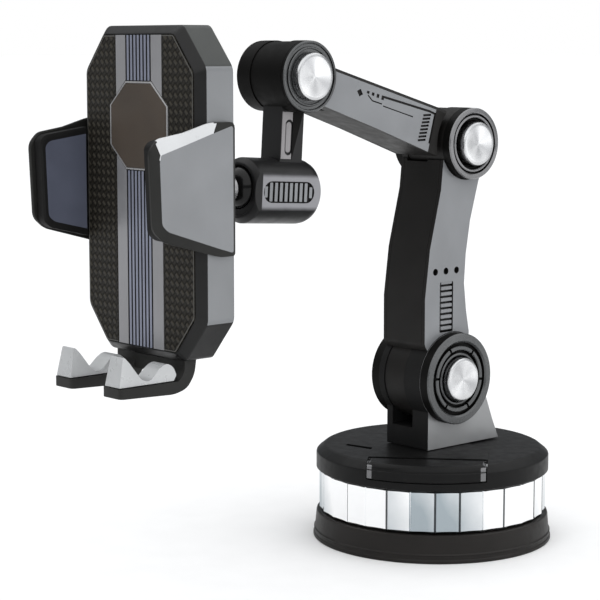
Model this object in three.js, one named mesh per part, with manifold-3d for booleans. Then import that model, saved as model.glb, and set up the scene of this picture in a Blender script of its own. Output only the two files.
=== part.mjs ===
// Car phone mount: a suction base with a lock lever, a swivel bracket, a two-part folding arm,
// a wrist link with a ball socket, and a cradle whose two clamps are geared together.
//
// Millimetres. +Z is up. The origin is the centre of the base's underside. The cradle faces -Y,
// the arm folds in the plane X = 0, and every hinge of the arm turns about a line along X.

import * as THREE from 'three';
import { mergeVertices } from 'three/addons/utils/BufferGeometryUtils.js';
import Module from 'manifold-3d';

const wasm = await Module();
wasm.setup();

// ---------------------------------------------------------------- driving dimensions

const GAP = 0.3;                 // clearance between two pieces that touch
const ROUND = 30;                // sides of a large round piece
const SMALL_ROUND = 14;          // sides of a pin or a screw
const WASHER_ROUND = 18;         // sides of a washer, a friction ring or the stem
const CAP_ROUND = 22;            // sides of a hinge cap or the neck

const CUP_RADIUS = 44.1;         // rubber skirt at the floor
const CUP_TOP = 9.9;
const CUP_HOLLOW = 36;           // radius of the space under the skirt, which the gel pad fills
const RING_RADIUS = 42;          // faceted metal ring, measured over its corners
const RING_FACETS = 30;
const RING_TURN = 3.8;           // degrees that the facets are turned about Z
const RING_TOP = 25.3;
const COVER_RADIUS = 43;
const COVER_TOP = 34.6;
const COVER_UNDERSIDE = 33;      // underside of the cover's roof
const LEVER_DIRECTION = -49;     // degrees from +X to the middle of the lever's tab
const LEVER_HALF_WIDTH = 21;
const LEVER_AXIS = [30, 32.6];   // distance from the base's axis, and height
const STEM_RADIUS = 5;
const SPIGOT_RADIUS = 8;         // round foot of the bracket, in the cover's hole

const ARM_HALF_WIDTH = 10.55;    // over the side plates
const FRAME_HALF_WIDTH = 8.75;   // arm frame between its side plates
const KNUCKLE = [-7.4, 2.3];     // where each arm's knuckle lies between the next piece's cheeks
const DISC_START = ARM_HALF_WIDTH + GAP;

const LOWER = { y: -0.9, z: 60.4, radius: 16.75, end: 14.8, cap: 8.1, capEnd: 16.7, bolt: 3 };
const ELBOW = { y: 5.8, z: 145.7, radius: 12.9, end: 14.6, cap: 7.9, capEnd: 16.7, bolt: 2.5 };
const WRIST = { y: -72.2, z: 170.5, radius: 12, end: 12.2, cap: 8.05, capEnd: 14.9, bolt: 2.5 };

const LINK_TILT = -3.7;          // degrees about X that raise the front of the wrist link
const LINK_HALF_WIDTH = 4.85;
const SOCKET_RADIUS = 11.05;     // ball housing
const SOCKET_FLAT = 9.2;         // half the width over the housing's two flats
const SOCKET_AXIS = -38.75;      // height of the housing's axis from the wrist's, in the tilted link
const BALL = { y: -91.2, z: 133.9, radius: 7.4 };
const NECK_RADIUS = 4.5;

const CRADLE = { halfWidth: 30.6, bottom: 81.95, top: 187.05, cutX: 11, cutZ: 13 };
const CRADLE_FRONT = -134.7;
const CRADLE_BACK = -121;
const CRADLE_BEVEL = 2.7;
const CRADLE_WALL = 2;
const SKIN_FRONT = -133.9;       // front of the frame, behind the trim panels
const SKIN_BACK = -132.5;
const STRIP_HALF_WIDTH = 11.85;
const PAD_CENTRE = 155.5;        // height of the cradle's octagonal centre pad

const PINION = { z: 136, pitch: 6, teeth: 12, front: -130.9, back: -127.4, bore: 1.8 };
const RACK = { inner: -22, outer: CRADLE.halfWidth, front: -131, back: -126.5, top: 149 };
const TOOTH = { tip: 0.8, root: 1.1, backlash: 0.3, slope: 20 };
const CLAMP = { inner: CRADLE.halfWidth + GAP, step: 32.3, outer: 33 };
const CLAMP_PAD = { inner: 26.8, back: -135.3 };
const FOOT = { inner: 8.07, outer: 17.8, front: -131, back: -126.3, top: 104 };

// ---------------------------------------------------------------- solids

// A closed three.js geometry as a solid for cutting and joining.
function solidOf(geometry) {
  const bare = geometry.clone();
  bare.deleteAttribute('normal');
  bare.deleteAttribute('uv');
  const merged = mergeVertices(bare, 1e-4);
  const position = merged.getAttribute('position');
  const index = merged.getIndex().array;
  const corners = [0, 1, 2].map(() => new THREE.Vector3());
  const triangles = [];
  let volume = 0;
  for (let i = 0; i < index.length; i += 3) {
    const [a, b, c] = index.slice(i, i + 3);
    if (a === b || b === c || c === a) continue;
    triangles.push(a, b, c);
    corners.forEach((corner, k) => corner.fromBufferAttribute(position, index[i + k]));
    volume += corners[0].dot(corners[1].cross(corners[2]));
  }
  if (volume < 0) triangles.reverse();
  return new wasm.Manifold(new wasm.Mesh({
    numProp: 3,
    vertProperties: Float32Array.from(position.array),
    triVerts: Uint32Array.from(triangles),
  }));
}

// A solid as a three.js geometry.
function geometryOf(solid) {
  const mesh = solid.getMesh();
  const geometry = new THREE.BufferGeometry();
  geometry.setAttribute('position', new THREE.BufferAttribute(Float32Array.from(mesh.vertProperties), 3));
  geometry.setIndex(new THREE.BufferAttribute(Uint32Array.from(mesh.triVerts), 1));
  geometry.computeVertexNormals();
  return geometry;
}

// An outline of [a, b] points; a third number rounds that corner off over that distance.
function shapeOf(points) {
  const shape = new THREE.Shape();
  points.forEach(([x, y, setback = 0], i) => {
    const corner = new THREE.Vector2(x, y);
    const [before, after] = [-1, 1].map((step) => {
      const [nx, ny] = points[(i + step + points.length) % points.length];
      const side = new THREE.Vector2(nx, ny).sub(corner).normalize();
      return corner.clone().addScaledVector(side, setback);
    });
    if (i === 0) shape.moveTo(before.x, before.y);
    else shape.lineTo(before.x, before.y);
    if (setback > 0) shape.quadraticCurveTo(x, y, after.x, after.y);
  });
  shape.closePath();
  return shape;
}

const AXES = {
  x: new THREE.Vector3(1, 0, 0),
  y: new THREE.Vector3(0, 1, 0),
  z: new THREE.Vector3(0, 0, 1),
};

// A prism of an outline, along x or y, from one place to another. The outline's two numbers are
// y and z on a prism along x, and x and z on a prism along y.
function prism(axis, points, from, to) {
  const options = { depth: to - from, bevelEnabled: false, curveSegments: 3 };
  const geometry = new THREE.ExtrudeGeometry(shapeOf(points), options);
  const turn = new THREE.Matrix4();
  if (axis === 'x') {
    geometry.applyMatrix4(turn.makeBasis(AXES.y, AXES.z, AXES.x));
    geometry.translate(from, 0, 0);
  } else {
    geometry.applyMatrix4(turn.makeBasis(AXES.x, AXES.z, AXES.y.clone().negate()));
    geometry.translate(0, to, 0);
  }
  return solidOf(geometry);
}

// A solid of revolution about an axis through the origin, from [radius, place along axis] points.
function turned(axis, profile, sides = ROUND) {
  const points = profile.map(([radius, along]) => new THREE.Vector2(radius, along));
  if (profile[0][0] > 0) points.push(points[0].clone());
  const geometry = new THREE.LatheGeometry(points, sides);
  if (axis === 'x') geometry.rotateZ(-Math.PI / 2);
  if (axis === 'z') geometry.rotateX(Math.PI / 2);
  return solidOf(geometry);
}

// A plain round rod along an axis through the origin.
function rod(axis, radius, from, to, sides = SMALL_ROUND) {
  return turned(axis, [[0, from], [radius, from], [radius, to], [0, to]], sides);
}

// A block from its lowest to its highest corner.
function block([x0, y0, z0], [x1, y1, z1]) {
  const geometry = new THREE.BoxGeometry(x1 - x0, y1 - y0, z1 - z0);
  geometry.translate((x0 + x1) / 2, (y0 + y1) / 2, (z0 + z1) / 2);
  return solidOf(geometry);
}

function atHinge(solid, hinge) {
  return solid.translate([0, hinge.y, hinge.z]);
}

// ---------------------------------------------------------------- finishes and nodes

const FINISH = {
  rubber: [0x17181a, 0.85, 0],
  gel: [0x2a2c30, 0.5, 0],
  blackPlastic: [0x16171b, 0.4, 0],
  darkPlastic: [0x25272b, 0.55, 0],
  greyPlastic: [0x8b8f94, 0.45, 0.2],
  silverPlastic: [0xc9ccd0, 0.3, 0.5],
  chrome: [0xe4e6ea, 0.08, 1],
  steel: [0xb4b7bb, 0.35, 1],
  nylon: [0xd8d6cc, 0.5, 0],
  carbonFilm: [0x33353a, 0.35, 0.2],
  padRubber: [0x7e858c, 0.8, 0],
};

function put(group, name, solid, finish) {
  const [color, roughness, metalness] = FINISH[finish];
  const material = new THREE.MeshStandardMaterial({ color, roughness, metalness });
  const mesh = new THREE.Mesh(geometryOf(solid), material);
  mesh.name = name;
  group.add(mesh);
}

const phoneMount = new THREE.Group();

// ---------------------------------------------------------------- base

const suctionCup = turned('z', [
  [CUP_RADIUS, 0], [CUP_RADIUS, 1.2], [43.6, 3.1], [42.6, CUP_TOP],
  [STEM_RADIUS + 0.6, CUP_TOP], [STEM_RADIUS + 0.6, 6.6], [CUP_HOLLOW, 6.6], [CUP_HOLLOW, 0],
]);
put(phoneMount, 'suction_cup', suctionCup, 'rubber');

const gelThickness = 1.6;
const gelPad = rod('z', CUP_HOLLOW - GAP, 0, gelThickness, ROUND);
put(phoneMount, 'gel_pad', gelPad, 'gel');

const frameFloor = CUP_TOP + GAP;
const frameFloorTop = 12.7;
const frameWall = { outer: 39.5, inner: 37 };
const baseFrame = turned('z', [
  [STEM_RADIUS + GAP, frameFloor], [frameWall.outer, frameFloor], [frameWall.outer, RING_TOP],
  [frameWall.inner, RING_TOP], [frameWall.inner, frameFloorTop],
  [STEM_RADIUS + GAP, frameFloorTop],
]);
const postRadius = 3.5;
const postCircle = 31.5;
const frameWithPosts = [90, 180, 270].reduce((frame, turn) => {
  const angle = THREE.MathUtils.degToRad(LEVER_DIRECTION + turn);
  const place = [postCircle * Math.cos(angle), postCircle * Math.sin(angle), 0];
  const post = rod('z', postRadius, frameFloorTop - 0.7, COVER_UNDERSIDE - GAP).translate(place);
  return frame.add(post);
}, baseFrame);
put(phoneMount, 'base_frame', frameWithPosts, 'blackPlastic');

const ringThickness = 1.7;
const baseRing = turned('z', [
  [RING_RADIUS, 11], [RING_RADIUS, RING_TOP], [RING_RADIUS - ringThickness, RING_TOP],
  [RING_RADIUS - ringThickness, frameFloor], [RING_RADIUS - 0.8, frameFloor],
], RING_FACETS).rotate([0, 0, RING_TURN]);
put(phoneMount, 'base_ring', baseRing, 'chrome');

// The lever's own group is turned so that its +X points along the tab.
const leverGroup = new THREE.Group();
leverGroup.rotation.z = THREE.MathUtils.degToRad(LEVER_DIRECTION);
phoneMount.add(leverGroup);

const [leverX, leverZ] = LEVER_AXIS;
const leverPinRadius = 0.9;
const leverBarrelRadius = 1.9;
const leverGap = 0.35;           // round the lever, in its recess
const earDepth = 3.6;            // each ear of the cover that holds an end of the pin

const coverShell = turned('z', [
  [COVER_RADIUS, RING_TOP + GAP], [COVER_RADIUS, 33.3], [41.3, COVER_TOP],
  [SPIGOT_RADIUS + GAP, COVER_TOP], [SPIGOT_RADIUS + GAP, COVER_UNDERSIDE],
  [40.6, COVER_UNDERSIDE], [41, 32.6], [41, RING_TOP + GAP],
]);
const leverRecess = block(
  [leverX - leverBarrelRadius - GAP, -LEVER_HALF_WIDTH - leverGap, 28.4],
  [COVER_RADIUS + 2, LEVER_HALF_WIDTH + leverGap, COVER_TOP + 2],
);
const earSpan = LEVER_HALF_WIDTH + leverGap;
const ears = [-1, 1].reduce((cover, side) => {
  const [near, far] = [side * earSpan, side * (earSpan + earDepth)].sort((a, b) => a - b);
  const low = [leverX - 2.5, near, 30.2];
  const high = [leverX + 2.5, far, COVER_UNDERSIDE + 0.2];
  return cover.add(block(low, high));
}, coverShell.rotate([0, 0, -LEVER_DIRECTION]).subtract(leverRecess));
const pinBore = rod('y', leverPinRadius + GAP, -earSpan - 3.2, earSpan + 3.2)
  .translate([leverX, 0, leverZ]);
const topCover = ears.subtract(pinBore);
put(leverGroup, 'top_cover', topCover, 'blackPlastic');

const leverPin = rod('y', leverPinRadius, -earSpan - 2.9, earSpan + 2.9)
  .translate([leverX, 0, leverZ]);
put(leverGroup, 'lever_pin', leverPin, 'steel');

const leverShell = turned('z', [
  [41.3, 28.75], [43.6, 28.75], [43.6, 32.8], [41.4, 34.5],
  [22, 34.5], [22, COVER_UNDERSIDE], [41.3, COVER_UNDERSIDE],
]);
const leverArea = block(
  [leverX, -LEVER_HALF_WIDTH, 28],
  [COVER_RADIUS + 2, LEVER_HALF_WIDTH, COVER_TOP + 1],
);
const leverBarrel = rod('y', leverBarrelRadius, -LEVER_HALF_WIDTH, LEVER_HALF_WIDTH)
  .translate([leverX, 0, leverZ]);
// The cam arm under the barrel lifts the yoke's lip when the lever is closed.
const camArm = prism('y', [
  [leverX - 4.4, 27.5], [leverX + 1.5, 27.5], [leverX + 1.5, 32.5],
  [leverX - 1, 32.5], [leverX - 1, 29.5], [leverX - 4.4, 29.5],
], -4.5, 4.5);
const leverBore = rod('y', leverPinRadius + GAP, -LEVER_HALF_WIDTH - 1, LEVER_HALF_WIDTH + 1)
  .translate([leverX, 0, leverZ]);
const lockLever = leverShell.intersect(leverArea).add(leverBarrel).add(camArm).subtract(leverBore);
put(leverGroup, 'lock_lever', lockLever, 'blackPlastic');

const suctionStem = turned('z', [
  [0, 5], [12, 5], [12, 6.3], [STEM_RADIUS, 6.3], [STEM_RADIUS, 16], [3, 16], [3, 20], [0, 20],
], WASHER_ROUND);
put(phoneMount, 'suction_stem', suctionStem, 'nylon');

const yokePlate = 16.3;
const liftYoke = prism('y', [
  [-8, yokePlate], [24, yokePlate], [24, 29.8], [28.5, 29.8], [28.5, 31.3],
  [22.5, 31.3], [22.5, yokePlate + 1.5], [-8, yokePlate + 1.5],
], -6, 6).subtract(rod('z', 3.3, 15, 21));
put(leverGroup, 'lift_yoke', liftYoke, 'steel');

// ---------------------------------------------------------------- swivel bracket

const bracketFoot = COVER_TOP + GAP;
const cheekGap = [KNUCKLE[0] - GAP, KNUCKLE[1] + GAP];
const bracketOutline = [
  [-13.1, bracketFoot], [24.7, bracketFoot], [21.2, 42.5], [18.3, 49.7], [15.2, 57],
  [LOWER.y, LOWER.z], [-13.1, 50],
];
const bracketSlot = atHinge(rod('x', LOWER.radius + 0.05, ...cheekGap, ROUND), LOWER)
  .add(block([cheekGap[0], -20, 42.2], [cheekGap[1], LOWER.y, 62]));
const spigotEnd = 27.2;
const swivelScrewRadius = 2;
const swivelBoreRadius = swivelScrewRadius + GAP;
const swivelBore = rod('z', swivelBoreRadius, spigotEnd - 1, 33);
const hingeBracket = prism('x', bracketOutline, -ARM_HALF_WIDTH, ARM_HALF_WIDTH)
  .add(atHinge(rod('x', LOWER.radius, -ARM_HALF_WIDTH, ARM_HALF_WIDTH, ROUND), LOWER))
  .add(rod('z', SPIGOT_RADIUS, spigotEnd, bracketFoot + 1))
  .subtract(bracketSlot)
  .subtract(swivelBore)
  .subtract(atHinge(rod('x', LOWER.bolt + GAP, -12, 12), LOWER));
put(phoneMount, 'hinge_bracket', hingeBracket, 'darkPlastic');

const swivelWasher = turned('z', [
  [swivelBoreRadius, spigotEnd - 1.5], [12, spigotEnd - 1.5],
  [12, spigotEnd - GAP], [swivelBoreRadius, spigotEnd - GAP],
], WASHER_ROUND);
put(phoneMount, 'swivel_washer', swivelWasher, 'steel');

const swivelScrew = turned('z', [
  [0, 23.2], [4, 23.2], [4, 25.3], [swivelScrewRadius, 25.3], [swivelScrewRadius, 32.6], [0, 32.6],
], SMALL_ROUND);
put(phoneMount, 'swivel_screw', swivelScrew, 'steel');

// ---------------------------------------------------------------- hinge hardware

// The pieces on one hinge line: a bolt with its nut, an end disc on each side and a cap.
// Each is made about the hinge's own centre, and its group stands at the hinge.
function hingeHardware(name, hinge) {
  const group = new THREE.Group();
  group.position.set(0, hinge.y, hinge.z);
  phoneMount.add(group);

  const headRadius = hinge.bolt + 2;
  const seat = DISC_START + 0.5;             // floor of the pocket that the head lies in
  const headEnd = hinge.capEnd - 1.3;
  const rim = hinge.radius - 0.05;
  const chamfer = 0.5;
  const disc = (side) => {
    const profile = [
      [hinge.bolt + GAP, DISC_START], [rim, DISC_START],
      [rim, hinge.end - chamfer], [rim - chamfer, hinge.end],
      [hinge.cap + 0.5, hinge.end], [hinge.cap + 0.5, seat], [hinge.bolt + GAP, seat],
    ];
    return turned('x', profile.map(([radius, along]) => [radius, side * along]));
  };
  put(group, `${name}_disc_near`, disc(1), 'darkPlastic');
  put(group, `${name}_disc_far`, disc(-1), 'darkPlastic');

  const nutEnd = hinge.end + 0.6;
  const bolt = turned('x', [
    [0, -nutEnd], [hinge.bolt, -nutEnd], [hinge.bolt, seat + GAP],
    [headRadius, seat + GAP], [headRadius, headEnd - 0.6], [0, headEnd - 0.6],
  ], SMALL_ROUND);
  put(group, `${name}_bolt`, bolt, 'steel');

  const nut = rod('x', headRadius + 1, -nutEnd + 0.3, -seat - GAP, 6)
    .subtract(rod('x', hinge.bolt + GAP, -20, 0));
  put(group, `${name}_nut`, nut, 'steel');

  const cap = turned('x', [
    [0, headEnd - GAP], [headRadius + GAP, headEnd - GAP], [headRadius + GAP, seat + GAP],
    [hinge.cap, seat + GAP], [hinge.cap, hinge.capEnd - 0.9],
    [hinge.cap - 0.9, hinge.capEnd - 0.2], [0, hinge.capEnd],
  ], CAP_ROUND);
  put(group, `${name}_cap`, cap, 'silverPlastic');
}

hingeHardware('lower_hinge', LOWER);
hingeHardware('elbow', ELBOW);
hingeHardware('wrist', WRIST);

// A friction ring in the face of each knuckle that turns between two cheeks.
const ringPocket = 1.3;
function washerShape(hinge, grow, from, to) {
  const inner = hinge.bolt + 3 - grow;
  const outer = hinge.radius - 4.6 + grow;
  const shape = turned('x', [[inner, from], [outer, from], [outer, to], [inner, to]], WASHER_ROUND);
  return atHinge(shape, hinge);
}

function frictionRing(name, hinge) {
  const ring = washerShape(hinge, 0, KNUCKLE[1] - ringPocket + GAP, KNUCKLE[1]);
  put(phoneMount, name, ring, 'rubber');
}

function knuckle(hinge) {
  const solid = atHinge(rod('x', hinge.radius - GAP, ...KNUCKLE, ROUND), hinge);
  const pocket = washerShape(hinge, GAP, KNUCKLE[1] - ringPocket, KNUCKLE[1] + 1);
  return { solid, pocket };
}

frictionRing('lower_hinge_friction_ring', LOWER);
frictionRing('elbow_friction_ring', ELBOW);

// ---------------------------------------------------------------- lower arm

const lowerArmOutline = [
  [-9, 65], [-15.2, 73.6, 1], [-15.24, 90.3], [-12.9, 108.2], [-7.5, 129.4], [-6.4, 140],
  [ELBOW.y, ELBOW.z + 2], [16.5, 143], [12.1, 131.9], [7.9, 117.7], [5.8, 105.5],
  [5.06, 94.8], [6.3, 84.7], [8, 76.4, 1], [6, 65],
];
const clearOfLower = atHinge(rod('x', LOWER.radius + GAP, -20, 20, ROUND), LOWER);
const clearOfElbow = atHinge(rod('x', ELBOW.radius + GAP, -20, 20, ROUND), ELBOW);
const knuckleSlice = block([KNUCKLE[0], -200, 0], [KNUCKLE[1], 200, 300]);
const lowerKnuckle = knuckle(LOWER);

function plateFor(outline, cuts, side) {
  const inner = side * (FRAME_HALF_WIDTH + GAP);
  const outer = side * ARM_HALF_WIDTH;
  const [from, to] = [inner, outer].sort((a, b) => a - b);
  return cuts.reduce((plate, cut) => plate.subtract(cut), prism('x', outline, from, to));
}

const lowerArmBody = prism('x', lowerArmOutline, -FRAME_HALF_WIDTH, FRAME_HALF_WIDTH);
const lowerArmNeck = lowerArmBody.intersect(knuckleSlice).add(lowerKnuckle.solid);
const elbowSlot = atHinge(rod('x', ELBOW.radius + 0.05, ...cheekGap, ROUND), ELBOW)
  .add(block([cheekGap[0], -12, ELBOW.z - 6.5], [cheekGap[1], ELBOW.y, ELBOW.z + 20]))
  .add(block([cheekGap[0], ELBOW.y, ELBOW.z - 3], [cheekGap[1], 25, ELBOW.z + 20]));
const lowerArm = lowerArmBody.subtract(clearOfLower).add(lowerArmNeck)
  .add(atHinge(rod('x', ELBOW.radius, -ARM_HALF_WIDTH, ARM_HALF_WIDTH, ROUND), ELBOW))
  .subtract(elbowSlot)
  .subtract(lowerKnuckle.pocket)
  .subtract(atHinge(rod('x', LOWER.bolt + GAP, -12, 12), LOWER))
  .subtract(atHinge(rod('x', ELBOW.bolt + GAP, -12, 12), ELBOW));
put(phoneMount, 'lower_arm', lowerArm, 'darkPlastic');

// The near plate has three round holes above a long slot.
const slotOutline = [[-7.6, 77.6, 0.6], [-0.7, 77.6, 0.6], [-0.7, 96, 0.6], [-7.6, 96, 0.6]];
const plateHoles = [-9.96, -4.5, 1].reduce(
  (cuts, y) => cuts.add(rod('x', 1.2, 8, 12, 12).translate([0, y, 99.9])),
  prism('x', slotOutline, 8, 12),
);
const lowerPlateCuts = [clearOfLower, clearOfElbow];
const lowerPlateNear = plateFor(lowerArmOutline, [...lowerPlateCuts, plateHoles], 1);
put(phoneMount, 'lower_arm_plate_near', lowerPlateNear, 'greyPlastic');
put(phoneMount, 'lower_arm_plate_far', plateFor(lowerArmOutline, lowerPlateCuts, -1), 'greyPlastic');

// ---------------------------------------------------------------- upper arm

const upperArmOutline = [
  [-3.8, 157.4], [-8.5, 158.9], [-58.7, 173.2], [-72.2, 177], [-72.2, 163.3], [-64.2, 160.4],
  [-38.25, 151.8], [-9.8, 141.7], [2, 142], [2, 150],
];
const elbowClearance = 2.6;      // from the elbow's barrel to the upper arm's hollow end
const clearOfElbowBarrel = atHinge(
  rod('x', ELBOW.radius + elbowClearance, -20, 20, ROUND), ELBOW,
);
const clearOfWrist = atHinge(rod('x', WRIST.radius + GAP, -20, 20, ROUND), WRIST);
const upperKnuckle = knuckle(ELBOW);
const upperArmBody = prism('x', upperArmOutline, -FRAME_HALF_WIDTH, FRAME_HALF_WIDTH);
const upperArmNeck = upperArmBody.intersect(knuckleSlice).add(upperKnuckle.solid);
const linkGap = LINK_HALF_WIDTH + GAP;
const wristSlot = atHinge(rod('x', 17.5, -linkGap, linkGap, ROUND), WRIST);
const upperArm = upperArmBody.subtract(clearOfElbowBarrel).add(upperArmNeck)
  .add(atHinge(rod('x', WRIST.radius, -ARM_HALF_WIDTH, ARM_HALF_WIDTH, ROUND), WRIST))
  .subtract(wristSlot)
  .subtract(upperKnuckle.pocket)
  .subtract(atHinge(rod('x', ELBOW.bolt + GAP, -12, 12), ELBOW))
  .subtract(atHinge(rod('x', WRIST.bolt + GAP, -12, 12), WRIST));
put(phoneMount, 'upper_arm', upperArm, 'darkPlastic');

const upperPlateCuts = [clearOfElbowBarrel, clearOfWrist];
put(phoneMount, 'upper_arm_plate_near', plateFor(upperArmOutline, upperPlateCuts, 1), 'greyPlastic');
put(phoneMount, 'upper_arm_plate_far', plateFor(upperArmOutline, upperPlateCuts, -1), 'greyPlastic');

// ---------------------------------------------------------------- wrist link and ball socket

// The link's group stands at the wrist and is tilted; y and z below are from the wrist.
const linkGroup = new THREE.Group();
linkGroup.position.set(0, WRIST.y, WRIST.z);
linkGroup.rotation.x = THREE.MathUtils.degToRad(LINK_TILT);
phoneMount.add(linkGroup);

const ballInLink = new THREE.Vector3(0, BALL.y - WRIST.y, BALL.z - WRIST.z)
  .applyAxisAngle(AXES.x, -THREE.MathUtils.degToRad(LINK_TILT));
const socketFront = -19.34;
const socketRear = 10.9;
const socketChamfer = 1.7;
const socketRound = 5;
const rearCorner = [0, 1, 2, 3].map((i) => {
  const angle = (Math.PI / 6) * i;
  const radius = SOCKET_RADIUS - socketRound + socketRound * Math.cos(angle);
  return [radius, socketRear - socketRound + socketRound * Math.sin(angle)];
});
const socketBody = turned('y', [
  [0, socketFront], [SOCKET_RADIUS - socketChamfer, socketFront],
  [SOCKET_RADIUS, socketFront + socketChamfer], ...rearCorner, [0, socketRear],
]).translate([0, 0, SOCKET_AXIS])
  .intersect(block([-SOCKET_FLAT, -40, -60], [SOCKET_FLAT, 40, 0]));

const gripEnds = [-15.6, 6.9];
const gripHalfHeight = 3.6;
const gripFloor = SOCKET_FLAT - 1;
function gripOutline(inset) {
  const [front, rear] = [gripEnds[0] + inset, gripEnds[1] - inset];
  const half = gripHalfHeight - inset;
  return [
    [front, SOCKET_AXIS - half, 2.6], [rear, SOCKET_AXIS - half, 2.6],
    [rear, SOCKET_AXIS + half, 2.6], [front, SOCKET_AXIS + half, 2.6],
  ];
}
const gripRecesses = prism('x', gripOutline(0), gripFloor, SOCKET_FLAT + 1)
  .add(prism('x', gripOutline(0), -SOCKET_FLAT - 1, -gripFloor));

const tensionScrewRadius = 3;
const cavityRadius = BALL.radius + GAP;
const cavity = solidOf(new THREE.SphereGeometry(cavityRadius, 20, 12))
  .translate(ballInLink.toArray());
const screwBore = rod('y', tensionScrewRadius + GAP, ballInLink.y, socketRear + 1)
  .translate([0, 0, ballInLink.z]);
const linkStem = block([-LINK_HALF_WIDTH, -5.5, -30], [LINK_HALF_WIDTH, 4.45, -2]);
const ballLink = socketBody.add(linkStem)
  .add(rod('x', WRIST.radius - GAP, -LINK_HALF_WIDTH, LINK_HALF_WIDTH, ROUND))
  .subtract(gripRecesses)
  .subtract(screwBore)
  .subtract(cavity)
  .subtract(rod('x', WRIST.bolt + GAP, -12, 12));
put(linkGroup, 'ball_link', ballLink, 'blackPlastic');

put(linkGroup, 'grip_insert_near',
  prism('x', gripOutline(GAP), gripFloor + GAP, SOCKET_FLAT), 'darkPlastic');
put(linkGroup, 'grip_insert_far',
  prism('x', gripOutline(GAP), -SOCKET_FLAT, -gripFloor - GAP), 'darkPlastic');

// A nylon-tipped screw presses on the ball from behind and sets the ball's friction.
const tensionScrew = rod('y', tensionScrewRadius, ballInLink.y, socketRear - 1.4)
  .translate([0, 0, ballInLink.z])
  .subtract(cavity)
  .subtract(block([-0.5, socketRear - 2.6, -60], [0.5, socketRear, 0]));
put(linkGroup, 'ball_tension_screw', tensionScrew, 'steel');

const ballHead = solidOf(new THREE.SphereGeometry(BALL.radius, 18, 12))
  .translate([0, BALL.y, BALL.z]);
put(phoneMount, 'ball_head', ballHead, 'blackPlastic');

// The neck's hollow end fits the ball, and its flange is held behind the cradle's back cover.
const coverThickness = 2;
const flangeBack = CRADLE_BACK - coverThickness - GAP;
const neckTurned = turned('y', [
  [0, flangeBack - 1.6], [8, flangeBack - 1.6], [8, flangeBack], [NECK_RADIUS, flangeBack],
  [NECK_RADIUS, BALL.y - 5], [0, BALL.y - 5],
], CAP_ROUND).translate([0, 0, BALL.z]);
const ballHollow = solidOf(new THREE.SphereGeometry(cavityRadius, 20, 12))
  .translate([0, BALL.y, BALL.z]);
put(phoneMount, 'ball_neck', neckTurned.subtract(ballHollow), 'silverPlastic');

// ---------------------------------------------------------------- cradle

// The cradle's octagon, inset by a distance from its outer edge.
function octagon(inset) {
  const { halfWidth, bottom, top, cutX, cutZ } = CRADLE;
  const x = halfWidth - inset;
  const [low, high] = [bottom + inset, top - inset];
  const cornerInset = inset * 0.45;
  const [dx, dz] = [cutX - cornerInset, cutZ - cornerInset];
  return [
    [-x + dx, low], [x - dx, low], [x, low + dz], [x, high - dz],
    [x - dx, high], [-x + dx, high], [-x, high - dz], [-x, low + dz],
  ];
}

// The bevel is cut in steps, and ends at the frame's front, which lies behind the trim.
const bevelSteps = 3;
const bevelDepth = CRADLE_BEVEL - (SKIN_FRONT - CRADLE_FRONT);
let cradleShell = prism('y', octagon(0), CRADLE_FRONT + CRADLE_BEVEL, CRADLE_BACK);
for (let i = 1; i <= bevelSteps; i += 1) {
  const inset = (bevelDepth / bevelSteps) * i;
  const front = CRADLE_FRONT + CRADLE_BEVEL - inset;
  cradleShell = cradleShell.add(prism('y', octagon(inset), front, front + 1.5));
}

const slideSlotZ = [PINION.z + PINION.pitch - 1.1, RACK.top + GAP];
const slideSlotY = [RACK.front - GAP, RACK.back + GAP];
function halfTurn(solid) {
  return solid.translate([0, 0, -PINION.z]).rotate([0, 180, 0]).translate([0, 0, PINION.z]);
}
const rightSlot = block(
  [CRADLE.halfWidth - 4, slideSlotY[0], slideSlotZ[0]],
  [CRADLE.halfWidth + 1, slideSlotY[1], slideSlotZ[1]],
);
const footSlots = [-1, 1].map((side) => {
  const [x0, x1] = [side * (FOOT.inner - GAP), side * (FOOT.outer + GAP)].sort((a, b) => a - b);
  const low = [x0, FOOT.front - GAP, CRADLE.bottom - 1];
  const high = [x1, FOOT.back + GAP, CRADLE.bottom + 4];
  return block(low, high);
});
const rail = block([-20, SKIN_BACK - 0.2, RACK.top + GAP], [20, RACK.back, RACK.top + 1.7]);
const screwPlaces = [[-22, 97], [22, 97], [-22, 172], [22, 172]];
const cradleBosses = screwPlaces.reduce(
  (frame, [x, z]) => frame.add(rod('y', 3, SKIN_BACK - 0.2, -123.4).translate([x, 0, z])),
  rod('y', 1.5, SKIN_BACK - 0.2, -126.2).translate([0, 0, PINION.z])
    .add(rail).add(halfTurn(rail)),
);
const cradleFrame = cradleShell
  .subtract(prism('y', octagon(CRADLE_WALL), SKIN_BACK, CRADLE_BACK + 1))
  .subtract(rightSlot)
  .subtract(halfTurn(rightSlot))
  .subtract(footSlots[0])
  .subtract(footSlots[1])
  .add(cradleBosses);
put(phoneMount, 'cradle_frame', cradleFrame, 'darkPlastic');

const button = { halfWidth: 6, bottom: 168, top: 180, proud: 2 };
const backBoss = rod('y', 12, CRADLE_BACK - 0.5, CRADLE_BACK + 6, ROUND - 6)
  .translate([0, 0, BALL.z]);
const backCover = prism('y', octagon(CRADLE_WALL + GAP), CRADLE_BACK - coverThickness, CRADLE_BACK)
  .add(backBoss)
  .subtract(rod('y', NECK_RADIUS + GAP, -130, -100, CAP_ROUND).translate([0, 0, BALL.z]))
  .subtract(block(
    [-button.halfWidth - GAP, -130, button.bottom - GAP],
    [button.halfWidth + GAP, -110, button.top + GAP],
  ));
put(phoneMount, 'back_cover', backCover, 'darkPlastic');

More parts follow.
